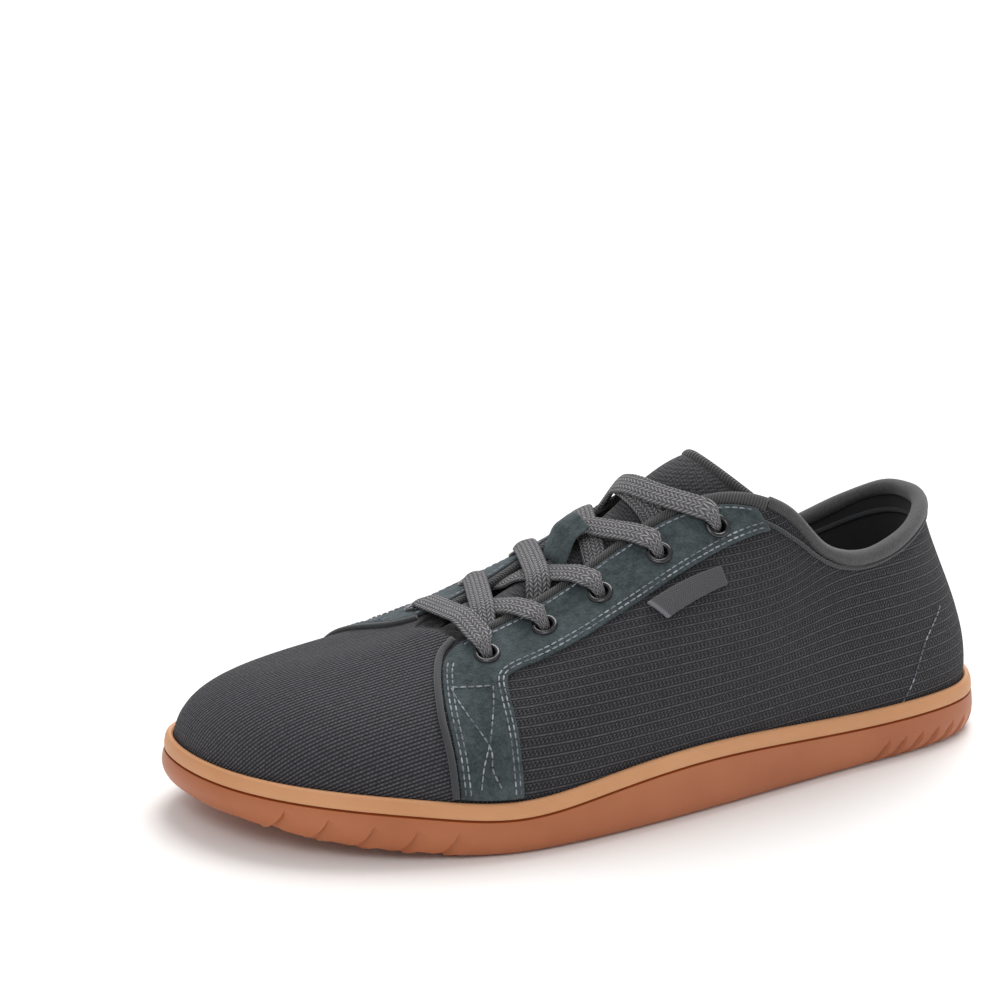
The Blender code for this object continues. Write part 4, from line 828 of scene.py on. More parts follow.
# The front edge and the rear edge of the suede from the sole up the leg and along the throat, each along the
# shoe and up the upper; then where the eyelets sit
EYESTAY = (
    (0.7690, 0.012, 0.7010, 0.012), (0.7692, 0.180, 0.7015, 0.150), (0.7648, 0.420, 0.6980, 0.320),
    (0.7528, 0.640, 0.6930, 0.500), (0.7338, 0.830, 0.6860, 0.610), (0.7020, 0.957, 0.6700, 0.640),
    (0.6650, 0.970, 0.6450, 0.637), (0.6250, 0.974, 0.6150, 0.632), (0.5700, 0.976, 0.5750, 0.632),
    (0.5050, 0.976, 0.5150, 0.660), (0.4450, 0.980, 0.4500, 0.735), (0.3950, 0.982, 0.3900, 0.830),
    (0.3560, 0.982, 0.3470, 0.910),
)
EYELETS = ((0.691, 0.805), (0.622, 0.820), (0.556, 0.805), (0.482, 0.830), (0.409, 0.885))
EYELET_OUTER, EYELET_HOLE, EYELET_LIP = 0.0080, 0.0048, 0.0008
SIDES = {True: "outer", False: "inner"}
SEEN_TURNS, SEEN_SHARES = 401, 81


def side_places(outer):
    """How far along the shoe the upper's face is, for turns and shares of one side."""
    turns = np.linspace(0.0 if outer else 1.0, 0.5, SEEN_TURNS)
    shares = np.linspace(0, 1, SEEN_SHARES)
    places = bare_upper(np.tile(turns, SEEN_SHARES), np.repeat(shares, SEEN_TURNS))[:, 0]
    return turns, places.reshape(SEEN_SHARES, SEEN_TURNS)


SIDE_PLACES = {outer: side_places(outer) for outer in SIDES}


def turns_for(along, share, outer):
    """The turns on one side of the shoe where the upper's face, at a share up, is so far along."""
    turns, places = SIDE_PLACES[outer]
    found = []
    for x, up in zip(from_heel(np.ravel(along)), np.ravel(share)):
        k = min(int(up * (SEEN_SHARES - 1)), SEEN_SHARES - 2)
        part = up * (SEEN_SHARES - 1) - k
        row = places[k] * (1 - part) + places[k + 1] * part
        reach = row.argmax() + 1
        found.append(np.interp(x, row[:reach], turns[:reach]))
    return np.array(found)


def on_upper(along, share, outer, lift=0.0):
    """Points over the upper's face and the outward ways there."""
    along, share = np.atleast_1d(along), np.atleast_1d(share)
    turns = turns_for(along, share, outer)
    return upper_face(turns, share, lift), upper_normals(turns, share)


def read_rows(rows, where):
    """Reads a table of rows as smooth curves, at shares of the way through it."""
    rows = np.asarray(rows, float)
    ends = np.vstack([2 * rows[0] - rows[1], rows, 2 * rows[-1] - rows[-2]])
    spot = np.clip(where, 0, 1) * (len(rows) - 1)
    i = np.clip(spot.astype(int), 0, len(rows) - 2)
    s = (spot - i)[:, None]
    a, b, c, d = ends[i], ends[i + 1], ends[i + 2], ends[i + 3]
    return 0.5 * (2 * b + (c - a) * s + (2 * a - 5 * b + 4 * c - d) * s**2 + (3 * b - a - 3 * c + d) * s**3)


def strip_of(rows, outer, lift):
    """The place of a grid that lies over the upper between the two edges of a table."""
    def place(s, t):
        first_along, first_share, last_along, last_share = read_rows(rows, t).T
        along = first_along + (last_along - first_along) * s
        return on_upper(along, first_share + (last_share - first_share) * s, outer, lift)[0]
    return place


def face_out(sheet):
    """Turns an open sheet's faces away from the foot."""
    outward = 0.0
    for face in sheet.data.polygons:
        outward += face.normal.dot(face.center - Vector((face.center.x, 0, SOLE_FLOOR)))
    if outward < 0:
        edit(sheet, (bpy.ops.mesh.flip_normals, {}))


def thickened(sheet, thickness, edge):
    """Gives a sheet its thickness, outwards, and softens its edges."""
    face_out(sheet)
    worked(sheet, "SOLIDIFY", thickness=thickness, offset=1)
    worked(sheet, "BEVEL", width=edge, segments=2, limit_method="ANGLE", angle_limit=math.radians(50))
    only(sheet)
    bpy.ops.object.shade_smooth_by_angle(angle=math.radians(60))


def joined(pieces):
    """Makes one piece of several, under the first one's name."""
    bpy.ops.object.select_all(action="DESELECT")
    for piece in pieces:
        piece.select_set(True)
    bpy.context.view_layer.objects.active = pieces[0]
    bpy.ops.object.join()
    return bpy.context.object


def eyelet_place(number, outer):
    """Where an eyelet stands, and the way that it faces."""
    place, way = on_upper(*EYELETS[number], outer)
    return place[0], way[0]


def standing(place, way):
    """The turn and move that stands a piece made upright at the origin on a face."""
    return Matrix.Translation(place) @ Vector(way).to_track_quat("Z", "X").to_matrix().to_4x4()


suede = Finish("dark_suede", (0.035, 0.052, 0.056), 0.94, Sheen_Weight=0.22, Sheen_Roughness=0.45,
               Sheen_Tint=(0.55, 0.68, 0.74, 1.0))
nap = suede.noise(1500.0, 4.0)
tufts = suede.mottle(420.0, 4.0, 0.32, 0.68)
brushed = suede.mottle(75.0, 5.0, 0.30, 0.72)
coarse = suede.sum("MULTIPLY_ADD", tufts, 0.35, suede.sum("MULTIPLY", brushed, 0.35))
shade = suede.sum("MULTIPLY_ADD", suede.between(nap, 0.0, 1.0, 0.3, 0.7), 0.35, coarse)
suede.give("Base Color", suede.blend(shade, (0.004, 0.009, 0.011), (0.076, 0.099, 0.107)))
suede_height = suede.sum("MULTIPLY_ADD", nap, 0.7, suede.sum("MULTIPLY", tufts, 0.4))
suede.give("Normal", suede.relief(suede_height, 0.0005, 0.9))

for outer_side, side_name in SIDES.items():
    eyestay = lofted(f"eyestay_{side_name}_suede", 18, 96, strip_of(EYESTAY, outer_side, 0.00012), suede)
    thickened(eyestay, SUEDE, 0.0003)
    drills = []
    for number in range(len(EYELETS)):
        bpy.ops.mesh.primitive_cylinder_add(vertices=24, radius=(EYELET_HOLE + EYELET_LIP) / 2, depth=0.008)
        drill = bpy.context.object
        drill.data.transform(standing(*eyelet_place(number, outer_side)))
        drills.append(drill)
    drill = joined(drills)
    for piece in (eyestay, upper):
        worked(piece, "BOOLEAN", operation="DIFFERENCE", object=drill, solver="EXACT")
    bpy.data.objects.remove(drill)
    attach(eyestay, "root")
    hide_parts(f"eyestay_{side_name}")


# Seam piping: a thin cord rolled in cloth, caught in the seam between vamp and quarter from the sole to the
# throat.
PIPING = 0.0022


def rod(name, centres, asides, ups, width, height, finish, corners=14):
    """A closed rod of oval section along centres."""
    last = len(centres) - 1
    width, height = (np.broadcast_to(size, last + 1) for size in (width, height))

    def place(s, t):
        k = np.rint(t * last).astype(int)
        angle = 2 * math.pi * s
        across = asides[k] * (np.cos(angle) * width[k] / 2)[:, None]
        return centres[k] + across + ups[k] * (np.sin(angle) * height[k] / 2)[:, None]

    made = lofted(name, corners, last, place, finish, closed=True)
    edit(made, FILL, OUTWARD)
    return made


def along_line(points, ways):
    """The ways across a line that lies on a face."""
    return unit(np.cross(unit(np.gradient(points, axis=0)), ways))


piping = Finish("piping_cloth", (0.045, 0.048, 0.052), 0.8, Sheen_Weight=0.3)
piping_round, piping_along = piping.cloth()
twill_across = piping.sum("MULTIPLY_ADD", piping_round, 0.7, piping_along)
twill = piping.sum("SINE", piping.sum("MULTIPLY", twill_across, 9000.0))
# The twill is painted darker in the hollows between its diagonal ribs: painted shade.
twill_shade = piping.between(twill, 0.0, 1.0, -1.0, 1.0)
piping.give("Base Color", piping.blend(twill_shade, (0.018, 0.020, 0.022), (0.052, 0.055, 0.060)))
piping.give("Normal", piping.relief(twill, 0.00006, 0.6))
for outer_side, side_name in SIDES.items():
    seam = read_rows(SEAM, np.linspace(0, 1, 60))
    centres, ways = on_upper(seam[:, 0], seam[:, 1], outer_side, PIPING * 0.30)
    across = along_line(centres, ways)
    cord = rod(f"seam_cord_{side_name}", centres, across, ways, PIPING, PIPING * 0.8, piping)
    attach(cord, "root")
    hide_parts(f"seam_piping_{side_name}")


# Throat tapes: ribbed binding folded over the throat's cut edges and sewn down beside the suede.
TAPE_WIDTH, TAPE_HEIGHT, TAPE_SINK, TAPE_RIB = 0.0050, 0.0028, 0.0004, 0.00095
# Where the tapes end at the heel and at the toe, as shares of the length
TIP, TOE_TAPE = 0.345, 0.693


def beside_edge(turns, push, sunk):
    """A line beside the upper's cut edge, pushed off it and sunk from its face, with its two cross ways."""
    one = np.ones(len(turns))
    edge, ways = upper_face(turns, one), upper_normals(turns, one)
    away = unit(edge - upper_face(turns, one * 0.98))
    return edge + away * push - ways * sunk, away, ways


grosgrain = Finish("ribbed_binding", (0.06, 0.06, 0.06), 0.75, Sheen_Weight=0.2)
_, tape_along = grosgrain.cloth()
tape_rib = grosgrain.sum("MULTIPLY_ADD", grosgrain.ripple(tape_along, TAPE_RIB), 0.5, 0.5)
# The binding is painted darker between its ribs, painted shade, over a random tone.
tape_shade = grosgrain.sum("MULTIPLY", tape_rib, 0.8)
tape_tone_and_shade = grosgrain.sum("MULTIPLY_ADD", grosgrain.noise(1200.0), 0.4, tape_shade)
grosgrain.give("Base Color", grosgrain.blend(tape_tone_and_shade, (0.007, 0.007, 0.008), (0.078, 0.078, 0.081)))
grosgrain.give("Normal", grosgrain.relief(tape_rib, 0.00035, 1.0))
tapes = []
for outer_side, side_name in SIDES.items():
    ends = [turns_for([along], [1.0], outer_side)[0] for along in (TOE_TAPE, TIP)]
    line, away, ways = beside_edge(np.linspace(*ends, 110), TAPE_WIDTH / 2 - 0.0013, TAPE_SINK)
    tape = rod(f"throat_binding_{side_name}", line, away, ways, TAPE_WIDTH, TAPE_HEIGHT, grosgrain, 16)
    tapes.append(tape)
    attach(tape, "root")
    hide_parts(f"throat_tape_{side_name}")


# Collar: a soft roll of foam in a fine grey jersey round the ankle, with a thin corded seam under it outside
# and another where it meets the lining.
COLLAR_ROLL = 0.0052
CORD = 0.0013
# How far up the upper the corded seam runs, at turns away from the heel back
COLLAR_SEAM = ((0.0, 0.995), (0.116, 0.990), (0.1435, 0.982), (0.1695, 0.970), (0.198, 0.950), (0.215, 0.935))
jersey = Finish("collar_jersey", (0.035, 0.035, 0.037), 0.8, Sheen_Weight=0.30, Sheen_Roughness=0.4)
_, jersey_along = jersey.cloth()
course = jersey.ripple(jersey_along, 0.0007)
# The jersey's colour: a random tone, with painted shade in the hollows between its courses.
course_shade = jersey.between(course, 0.0, 0.3, -1.0, 1.0)
jersey_tone_and_shade = jersey.sum("MULTIPLY_ADD", jersey.noise(900.0, 4.0), 0.7, course_shade)
jersey.give("Base Color", jersey.blend(jersey_tone_and_shade, (0.022, 0.022, 0.023), (0.105, 0.105, 0.109)))
jersey.give("Normal", jersey.relief(course, 0.00012, 0.5))
collar_end = TIP - 1.5 * GAP / LENGTH
inner_end, outer_end = (turns_for([collar_end], [1.0], outer_side)[0] for outer_side in (False, True))
turns = np.linspace(inner_end - 1.0, outer_end, 170)
line, away, ways = beside_edge(turns, GAP + COLLAR_ROLL / 2 - 0.0006, UPPER_WALL / 2)
plump = 1.0 + 0.03 * np.sin(turns * 150) + 0.02 * np.sin(turns * 67 + 1)
taper = np.interp(np.abs(turns), [0.0, 0.19, 0.215], [1.0, 1.0, 0.86])
roll_width, roll_height = COLLAR_ROLL * plump * taper, COLLAR_ROLL * 1.04 * plump * taper
roll = rod("collar_roll", line, away, ways, roll_width, roll_height, jersey, 22)
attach(roll, "root")
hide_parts("collar")
seam_shares = np.interp(np.abs(turns), *np.transpose(COLLAR_SEAM))
line, ways = upper_face(turns, seam_shares, 0.0005), upper_normals(turns, seam_shares)
collar_cord = rod("collar_cord", line, along_line(line, ways), ways, CORD, CORD * 1.2, piping, 10)
line = upper_face(turns, np.full(len(turns), 0.90), -UPPER_WALL - 0.0002)
lining_cord = rod("lining_cord", line, along_line(line, ways), ways, CORD * 1.3, CORD, piping, 10)
for cord in (collar_cord, lining_cord):
    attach(cord, "root")


# Tongue: a padded flap of the same knit under the throat, its top edge bound in ribbed tape. The CAD piece
# has its true shape; it is smoothed here. The top edge of the CAD tongue: its place along the shoe and its
# crest, half width, fall and set-back as shares
TONGUE_TOP = (0.386, 1.115, 0.375, 0.27, 0.29)
TONGUE_ROUND = 1.7
BINDING, BINDING_STEPS = 0.0036, 50


def softened(node, name, finish, levels=2):
    """A smooth copy of a CAD solid."""
    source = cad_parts[node]
    mesh = source.data.copy()
    piece = shown(name, mesh)
    mesh.name = name
    mesh.materials.clear()
    mesh.materials.append(finish.material)
    quads = (bpy.ops.mesh.tris_convert_to_quads, {"face_threshold": 0.9, "shape_threshold": 0.9})
    edit(piece, MERGE, (bpy.ops.mesh.mark_sharp, {"clear": True}), quads)
    worked(piece, "SUBSURF", levels=levels, render_levels=levels)
    mesh = piece.data
    if mesh.attributes.get("sharp_edge"):
        mesh.attributes.remove(mesh.attributes["sharp_edge"])
    mesh.shade_smooth()
    return piece


def tree_of(*pieces):
    graph = bpy.context.evaluated_depsgraph_get()
    return [BVHTree.FromObject(piece, graph) for piece in pieces]


def top_of(trees, place):
    """The height of the highest face over or under a place."""
    found = [tree.ray_cast(Vector((place[0], place[1], 1.0)), Vector((0, 0, -1)))[0] for tree in trees]
    return max((hit.z for hit in found if hit is not None), default=0.0)


mesh_knit = Finish("tongue_knit", (0.04, 0.041, 0.045), 0.9, Sheen_Weight=0.08)
cells = mesh_knit.node("TexVoronoi", {"Vector": mesh_knit.place(), "Scale": 1050.0, "Randomness": 0.25})
cell_height = mesh_knit.between(cells, 1.0, 0.0, 0.1, 0.75)
# The knit's cells are painted darker towards their edges: painted shade in the hollows between them.
mesh_knit.give("Base Color", mesh_knit.blend(cell_height, (0.008, 0.008, 0.010), (0.080, 0.081, 0.088)))
mesh_knit.give("Normal", mesh_knit.relief(cell_height, 0.0004, 0.8))
tongue = softened("tongue", "tongue_flap", mesh_knit)
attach(tongue, "root")
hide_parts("tongue")
flap = tree_of(tongue)[0]
across = np.linspace(-0.93, 0.93, BINDING_STEPS)
along, crest, half, fall, set_back = TONGUE_TOP
drop = np.abs(across) ** TONGUE_ROUND * BALL_WIDTH / 2
rim_x = from_heel(along) - set_back * drop + 0.0002
rim = np.column_stack([rim_x, across * half * BALL_WIDTH / 2, crest * INSTEP_HEIGHT - fall * drop - 0.0018])
rim_ways = unit(np.column_stack([np.full(BINDING_STEPS, 0.55), across * 0.5, np.full(BINDING_STEPS, 0.7)]))
binding = rod("tongue_binding", rim, along_line(rim, rim_ways), rim_ways, BINDING, BINDING, grosgrain, 16)
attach(binding, "root")


# Gusset: a strip of the tongue's knit sewn under the vamp's cut edge, which closes the throat's toe end down
# to the tongue below the first lace.
GUSSET_REACH, GUSSET_THICKNESS = 0.0095, 0.0008


def gusset_sheet(s, t):
    """From under the vamp's cut edge to the top of the tongue."""
    outer_turn, inner_turn = (turns_for([TOE_TAPE], [1.0], outer)[0] for outer in (True, False))
    turn = outer_turn + (inner_turn - outer_turn) * s
    edge = upper_face(turn, np.full(len(turn), 0.985), -UPPER_WALL * 0.55)
    inner = edge * [1, 0.80, 1] - [GUSSET_REACH, 0, 0]
    rest = np.array([top_of([flap], place) for place in inner])
    inner[:, 2] = np.where(rest > 0, rest + GAP, inner[:, 2] - UPPER_WALL)
    return edge + (inner - edge) * t[:, None]


gusset = lofted("throat_gusset", 40, 8, gusset_sheet, mesh_knit)
worked(gusset, "SOLIDIFY", thickness=GUSSET_THICKNESS, offset=0)
edit(gusset, OUTWARD)
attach(gusset, "root")


# Eyelets: ten rings of black-plated brass, each with a rolled flange on the suede and a barrel through to
# the lining.
gunmetal = Finish("black_plated_brass", (0.06, 0.06, 0.064), 0.24, Metallic=1.0, Coat_Weight=0.3,
                  Coat_Roughness=0.15)
gunmetal.give("Roughness", gunmetal.between(gunmetal.noise(400.0), 0.18, 0.34))
gunmetal.give("Normal", gunmetal.relief(gunmetal.noise(900.0), 0.00002, 0.4))
RING = (EYELET_OUTER - EYELET_HOLE) / 4
BARREL_WALL, BARREL_DEPTH = 0.0004, 0.0034
bpy.ops.mesh.primitive_torus_add(
    major_radius=EYELET_HOLE / 2 + RING, minor_radius=RING, major_segments=36, minor_segments=14,
)
flange = bpy.context.object
flange.data.transform(Matrix.Translation((0, 0, SUEDE + RING * 0.45)) @ Matrix.Diagonal((1, 1, 0.75, 1)))
bpy.ops.mesh.primitive_cylinder_add(
    vertices=36, radius=EYELET_HOLE / 2 + BARREL_WALL, depth=BARREL_DEPTH, end_fill_type="NOTHING",
)
barrel = bpy.context.object
barrel.data.transform(Matrix.Translation((0, 0, SUEDE - 0.0014)))
worked(barrel, "SOLIDIFY", thickness=BARREL_WALL, offset=-1)
ring = joined([flange, barrel])
ring.data.materials.clear()
ring.data.materials.append(gunmetal.material)
ring.data.shade_smooth()
rings = []
for outer_side, side_name in SIDES.items():
    for number in range(len(EYELETS)):
        copy = shown(f"ring_{side_name}_{number + 1}", ring.data.copy())
        copy.data.transform(standing(*eyelet_place(number, outer_side)))
        rings.append(copy)
        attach(copy, "root")
        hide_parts(f"eyelet_{side_name}_{number + 1}")
bpy.data.objects.remove(ring)


# Lace: one flat braid of dull grey yarn. A bar closes the first pair of eyelets; from there each half comes
# up inside the throat, crosses the tongue and goes down through the next eyelet. Its ends stop under the top
# pair.
LACE_WIDTH, LACE_THICKNESS, LACE_TUCK = 0.0078, 0.0019, 0.0048
STRAND_STEPS, RUN_STEPS = 40, 72
PLAIT_STRAND, PLAIT_STEP = 0.00135, 0.00150
# The strand's widths where it dips into an eyelet, and where it comes up under the throat's edge
DIP_WIDTHS, RISE_WIDTHS = [0.0056, 0.0042, 0.0034, 0.0032], [0.0034, 0.0042, 0.0060]
# How far under its top a strand is at the eyelet's lip and in its mouth, and how deep under the suede it ends
LIP_DROP, MOUTH_DROP, END_DEPTH = 0.0006, 0.0024, 0.0030
# For each crossing from the toe: whether the upper strand starts on the outer side, and how far both slip
# forward
LACING = ((True, 0.0), (True, 0.0), (False, 0.004), (False, 0.024))


def plaited(finish, along, across, strand, step):
    """The height of a braid: strands of slanted loops side by side, each leaning the other way."""
    lane = finish.sum("DIVIDE", across, strand)
    spot = finish.sum("FRACT", lane)
    side = finish.sum("GREATER_THAN", finish.sum("FRACT", finish.sum("MULTIPLY", lane, 0.5)), 0.5)
    lean = finish.sum("SUBTRACT", finish.sum("MULTIPLY", side, 2.0), 1.0)
    turned = finish.sum("MULTIPLY_ADD", spot, lean, finish.sum("DIVIDE", along, step))
    loop = finish.sum("MULTIPLY_ADD", finish.ripple(turned, 1.0), 0.5, 0.5)
    crown = finish.sum("POWER", finish.ripple(spot, 2.0), 0.5)
    return finish.sum("MULTIPLY", crown, finish.sum("MULTIPLY_ADD", loop, 0.8, 0.2))


braid = Finish("lace_braid", (0.07, 0.069, 0.073), 0.88, Sheen_Weight=0.12, Sheen_Roughness=0.45)
braid_round, braid_along = braid.cloth()
plait = plaited(braid, braid_along, braid_round, PLAIT_STRAND, PLAIT_STEP)
# The braid's colour follows its relief: near black between its strands and loops, painted shade, with a
# random tone over it.
braid_tone_and_shade = braid.sum("MULTIPLY", plait, braid.between(braid.noise(1300.0, 2.0), 0.6, 1.4, 0.25, 0.75))
braid.give("Base Color", braid.blend(braid_tone_and_shade, (0.010, 0.010, 0.012), (0.400, 0.388, 0.408)))
braid.give("Normal", braid.relief(plait, 0.0009, 1.0))


def taut(distances, heights):
    """The heights of a band pulled tight over the given ones."""
    hull = [0]
    for k in range(1, len(distances)):
        while len(hull) > 1:
            a, b = hull[-2], hull[-1]
            before = (heights[b] - heights[a]) / (distances[b] - distances[a])
            if (heights[k] - heights[a]) / (distances[k] - distances[a]) < before:
                break
            hull.pop()
        hull.append(k)
    return np.interp(distances, distances[hull], heights[hull])


def strand_line(start, end, up, near, far, crossed, bow):
    """The middle of a strand pulled tight over what lies under it."""
    across = end[:2] - start[:2]
    shares = np.linspace(0, 1, STRAND_STEPS + 1)
    slip = np.column_stack([4 * bow * shares * (1 - shares), 0 * shares])
    places = start[:2] + across * shares[:, None] + slip
    side = unit(np.cross(up, [*across, 0.0]))
    clear = LACE_THICKNESS / 2 / up[2] + GAP
    heights = []
    for place, share in zip(places, shares):
        levels = []
        for off in (-0.45, 0.0, 0.45):
            shift = side * off * LACE_WIDTH
            levels.append(top_of([*(near if share < 0.5 else far), *crossed], place + shift[:2]) - shift[2])
        heights.append(max(levels) + clear)
    level = taut(np.linalg.norm(places - places[0], axis=1), np.array(heights))
    return np.column_stack([places, level]), side


def read_along(points, length, where):
    """Where a line is, at distances from its start."""
    return np.column_stack([np.interp(where, length, points[:, k]) for k in range(3)])


def smooth_line(points, count):
    """A line through points, evened out and smoothed."""
    length = lengths_along(points)
    even = read_along(points, length, np.linspace(0, length[-1], count))
    for _ in range(6):
        even[1:-1] = (even[:-2] + 2 * even[1:-1] + even[2:]) / 4
    return even


def lace_run(name, line, asides, widths):
    """A lace strand along a line: its section is a flat oval that thickens where it is squeezed."""
    length = lengths_along(line)
    where = np.linspace(0, length[-1], RUN_STEPS)
    even = smooth_line(line, RUN_STEPS)
    wide = np.interp(where, length, widths)
    side = unit(read_along(asides, length, where))
    travel = unit(np.gradient(even, axis=0))
    side = unit(side - travel * (side * travel).sum(axis=1, keepdims=True))
    up = np.cross(travel, side)
    thick = LACE_THICKNESS * np.sqrt(LACE_WIDTH / wide).clip(1.0, 1.45)
    return rod(name, even, side, up, wide, thick, braid, 16)


def into_hole(place, way, travel):
    """The last points of a strand: over the ring, and down through its middle."""
    travel = unit(travel - way * (way @ travel))
    over = SUEDE + 2 * RING * 0.8 + LACE_THICKNESS * 0.45
    rim_point = place - travel * (EYELET_HOLE / 2 + RING) + way * over
    lip = place - travel * EYELET_HOLE * 0.30 + way * (over - LIP_DROP)
    dip = place + travel * EYELET_HOLE * 0.05 + way * (over - MOUTH_DROP)
    deep = place + travel * EYELET_HOLE * 0.02 - way * END_DEPTH
    return np.array([rim_point, lip, dip, deep]), travel


def levelled(way, travel, side):
    """The way across a strand that lies on a face, turned as its side is."""
    level = np.cross(way, travel)
    return level * np.sign(level @ side)


def crest_up(x):
    """The way up from the tongue's crest at a place along it."""
    heel, toe = (top_of([flap], (x + k * LACE_WIDTH / 2, 0.0)) for k in (-1, 1))
    return unit(np.array([heel - toe, 0.0, LACE_WIDTH]))


eyestays = [bpy.data.objects[f"eyestay_{name}_suede"] for name in SIDES.values()]
under_lace = tree_of(tongue, *eyestays, *tapes, *rings)
strands = []
for number in range(len(EYELETS) - 1):
    made = []
    outer_over, bow = LACING[number]
    for from_outer in (not outer_over, outer_over):
        start_place, start_way = eyelet_place(number, from_outer)
        end_place, end_way = eyelet_place(number + 1, not from_outer)
        edge = upper_face(turns_for([start_place[0] / LENGTH + 0.5], [1.0], from_outer), [1.0])[0]
        inside = (abs(start_place[1]) - abs(edge[1]) + LACE_TUCK) / (abs(start_place[1]) + abs(end_place[1]))
        start = start_place + (end_place - start_place) * inside
        middle = (start_place[0] + end_place[0]) / 2 + bow * LENGTH
        up = crest_up(middle)
        crossed = tree_of(*made)
        line, side = strand_line(start, end_place, up, [flap], under_lace, crossed, bow * LENGTH)
        ends, travel = into_hole(end_place, end_way, end_place - line[-6])
        kept = (ends[0] - line) @ travel > LACE_THICKNESS * 0.8
        under_start = start_place - start_way * (UPPER_WALL + LACE_THICKNESS * 0.6)
        lead = np.array([start_place - start_way * 0.0002, under_start, (under_start + line[0]) / 2])
        line = np.vstack([lead, line[kept], ends])
        count = int(kept.sum())
        level, start_level = levelled(end_way, travel, side), levelled(start_way, travel, side)
        asides = np.vstack([np.tile(start_level, (3, 1)), np.tile(side, (count, 1)), np.tile(level, (4, 1))])
        widths = np.concatenate([RISE_WIDTHS, np.full(count, LACE_WIDTH), DIP_WIDTHS])
        made.append(lace_run(f"strand_{number}_{len(made)}", line, asides, widths))
    strands.append(made)

(outer_place, outer_way), (inner_place, inner_way) = eyelet_place(0, True), eyelet_place(0, False)
up = crest_up(outer_place[0])
under_bar = [*under_lace, *tree_of(*strands[0])]
line, side = strand_line(inner_place, outer_place, up, under_bar, under_bar, [], 0.0)
first, first_travel = into_hole(inner_place, inner_way, line[0] - line[6])
last, last_travel = into_hole(outer_place, outer_way, line[-1] - line[-7])
ahead, behind = (first[0] - line) @ first_travel, (last[0] - line) @ last_travel
kept = (ahead > LACE_THICKNESS) & (behind > LACE_THICKNESS)
count = int(kept.sum())
first_level, last_level = levelled(inner_way, first_travel, side), levelled(outer_way, last_travel, side)
asides = np.vstack([np.tile(first_level, (4, 1)), np.tile(side, (count, 1)), np.tile(last_level, (4, 1))])
widths = np.concatenate([DIP_WIDTHS[::-1], np.full(count, LACE_WIDTH), DIP_WIDTHS])
bar = lace_run("lace_first_bar", np.vstack([first[::-1], line[kept], last]), asides, widths)
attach(bar, "root")
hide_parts("lace_bar")
for number, pair in enumerate(strands):
    crossing = joined(pair)
    crossing.name = f"lace_crossing_{number + 1}"
    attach(crossing, "root")
    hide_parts(f"lace_cross_{number + 1}")


# Lace keeper: a strap of suede sewn across the tongue, flat at its toe side and gaping over the lace at the
# other.
keeper = softened("lace_keeper", "keeper_strap", suede, 3)
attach(keeper, "root")
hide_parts("lace_keeper")


# Label: a plain tab of grey woven tape folded at its toe end and caught under the outer eyestay's lower edge.
# The tab's two long edges, each along the shoe and up the upper
LABEL = ((0.519, 0.628, 0.502, 0.535), (0.421, 0.725, 0.418, 0.655))
LABEL_THICKNESS = 0.0012
WEFT, WARP = 0.00075, 0.00095
tab = Finish("label_weave", (0.11, 0.11, 0.115), 0.7, Sheen_Weight=0.2)
tab_across, tab_along = tab.cloth()
weft, warp = tab.ripple(tab_along, WEFT), tab.ripple(tab_across, WARP)
# The weave is painted darker in its hollows, painted shade; the band along the folded toe end is painted
# lighter, a painted highlight where the fold rolls over.
weave = tab.between(tab.sum("MULTIPLY", weft, warp), 0.0, 1.0, -1.0, 1.0)
folded = tab.between(tab_along, 1.0, 0.0, 0.0006, 0.0016)
plain = tab.blend(weave, (0.028, 0.028, 0.031), (0.076, 0.076, 0.083))
tab.give("Base Color", tab.blend(folded, plain, (0.150, 0.150, 0.165)))
tab.give("Normal", tab.relief(weave, 0.00015, 0.7))
label = lofted("label_tab", 14, 40, strip_of(LABEL, True, SUEDE * 0.35), tab)
thickened(label, LABEL_THICKNESS, 0.0004)
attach(label, "root")
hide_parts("label")


# Thread: pale blue-grey polyester lockstitch in double rows along the suede's lower edge and leg, single
# rows at the throat, and a curved row that holds the heel counter.
STITCH_PITCH, STITCH_LENGTH, THREAD = 0.0024, 0.0021, 0.00055
# How far inside the suede's edge the two lower rows run, and the row at the throat
DOUBLE_ROW, THROAT_ROW = (0.0012, 0.0027), 0.0014
thread = Finish("pale_thread", (0.30, 0.33, 0.38), 0.6, Sheen_Weight=0.3)
thread_fade = thread.mottle(260.0, 3.0, 0.35, 0.65)
thread.give("Base Color", thread.blend(thread_fade, (0.070, 0.082, 0.105), (0.36, 0.38, 0.42)))
bpy.ops.object.select_all(action="DESELECT")
bpy.ops.mesh.primitive_uv_sphere_add(segments=8, ring_count=6, radius=0.5)
stitch = bpy.context.object
stitch.data.transform(Matrix.Diagonal((STITCH_LENGTH, THREAD, THREAD, 1)))
stitch_points = np.array([vertex.co for vertex in stitch.data.vertices])
stitch_faces = [tuple(face.vertices) for face in stitch.data.polygons]
bpy.data.objects.remove(stitch)


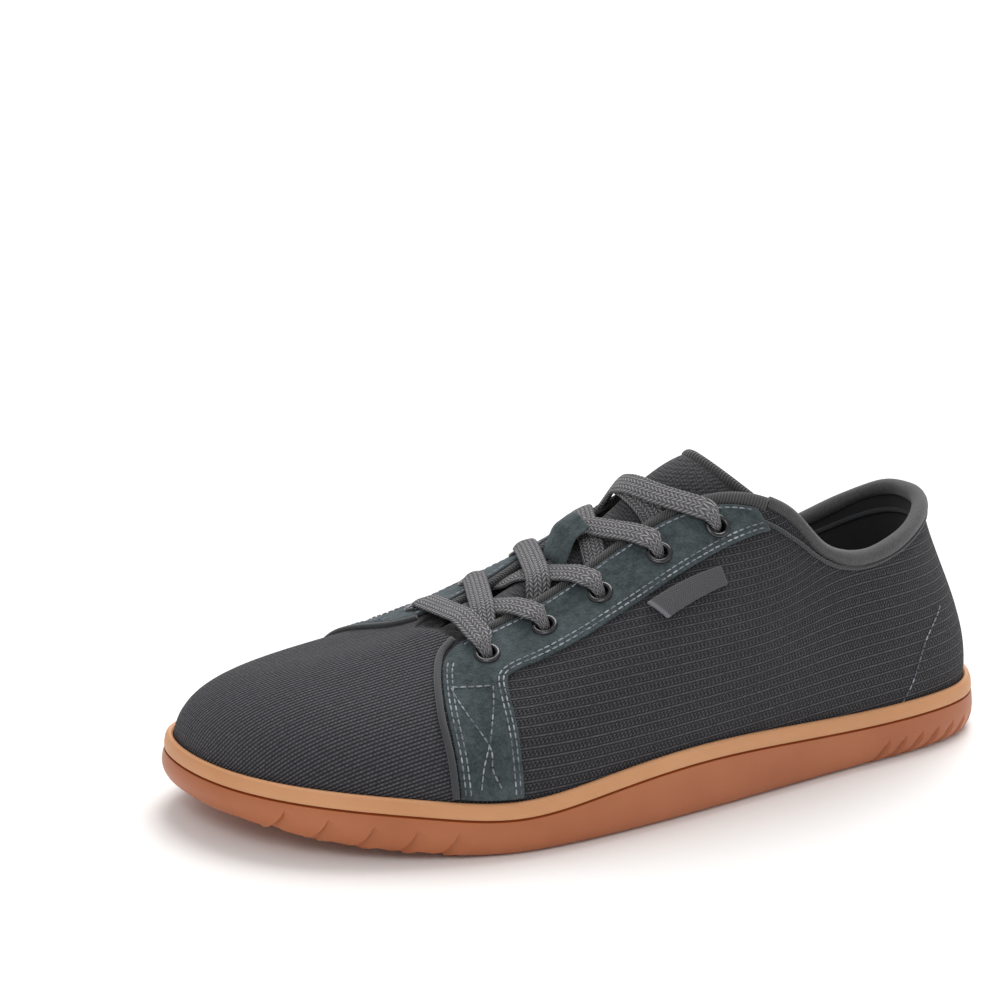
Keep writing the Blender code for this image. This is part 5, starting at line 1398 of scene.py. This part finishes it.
def sewn(name, lines):
    """Copies the one stitch along lines that lie on a face."""
    points, faces = [], []
    for line, ways in lines:
        length = lengths_along(line)
        for spot in np.arange(STITCH_PITCH / 2, length[-1], STITCH_PITCH):
            centre, way = (read_along(places, length, [spot])[0] for places in (line, ways))
            ahead, behind = read_along(line, length, [spot + 0.0005, spot - 0.0005])
            travel = unit(ahead - behind)
            side = unit(np.cross(way, travel))
            start = len(points) * len(stitch_points)
            points.append(centre + stitch_points @ np.array([travel, side, np.cross(travel, side)]))
            faces += [tuple(start + k for k in face) for face in stitch_faces]
    mesh = bpy.data.meshes.new(name)
    mesh.from_pydata(np.vstack(points).tolist(), [], faces)
    mesh.materials.append(thread.material)
    mesh.shade_smooth()
    row = shown(name, mesh)
    edit(row, OUTWARD)
    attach(row, "root")


def inside_edge(outer, start, end, edge, distance, lift=SUEDE + 0.0002):
    """A line on the suede at a distance inside its front (0) or rear (1) edge."""
    where = np.linspace(start, end, 90)
    front_along, front_share, rear_along, rear_share = read_rows(EYESTAY, where).T
    front, rear = on_upper(front_along, front_share, outer)[0], on_upper(rear_along, rear_share, outer)[0]
    step = distance / np.linalg.norm(front - rear, axis=1)
    s = step if edge == 0 else 1 - step
    along = front_along + (rear_along - front_along) * s
    return on_upper(along, front_share + (rear_share - front_share) * s, outer, lift)


# Rows of stitches as turns and shares up the upper: the bar across the top of the leg, its crossed rows, the
# heel's
LEG_ROWS = (
    ((0.3845, 0.625), (0.3720, 0.608), (0.3590, 0.585)),
    ((0.3845, 0.625), (0.3670, 0.440), (0.3515, 0.260), (0.3480, 0.150), (0.3430, 0.070)),
    ((0.3590, 0.585), (0.3550, 0.465), (0.3520, 0.300), (0.3525, 0.160), (0.3525, 0.045)),
)
HEEL_ROW = ((0.0585, 0.500), (0.0790, 0.340), (0.0905, 0.110), (0.0960, 0.0))


def free_row(corners, lift, outer):
    """A line through turns and shares, laid on either side of the shoe."""
    turns, shares = read_rows(corners, np.linspace(0, 1, 60)).T
    turns = turns if outer else 1 - turns
    return upper_face(turns, shares.clip(0, 1), lift), upper_normals(turns, shares.clip(0, 1))


for outer_side, side_name in SIDES.items():
    rows = []
    for distance in DOUBLE_ROW:
        rows.append(inside_edge(outer_side, 0.01, 0.985, 1, distance))
        rows.append(inside_edge(outer_side, 0.01, 0.33, 0, distance))
    rows.append(inside_edge(outer_side, 0.40, 0.985, 0, THROAT_ROW))
    heel_row = free_row(HEEL_ROW, 0.0002, outer_side)
    rows += [free_row(line, SUEDE + 0.0003, outer_side) for line in LEG_ROWS]
    sewn(f"eyestay_thread_{side_name}", rows)
    sewn(f"heel_thread_{side_name}", [heel_row])
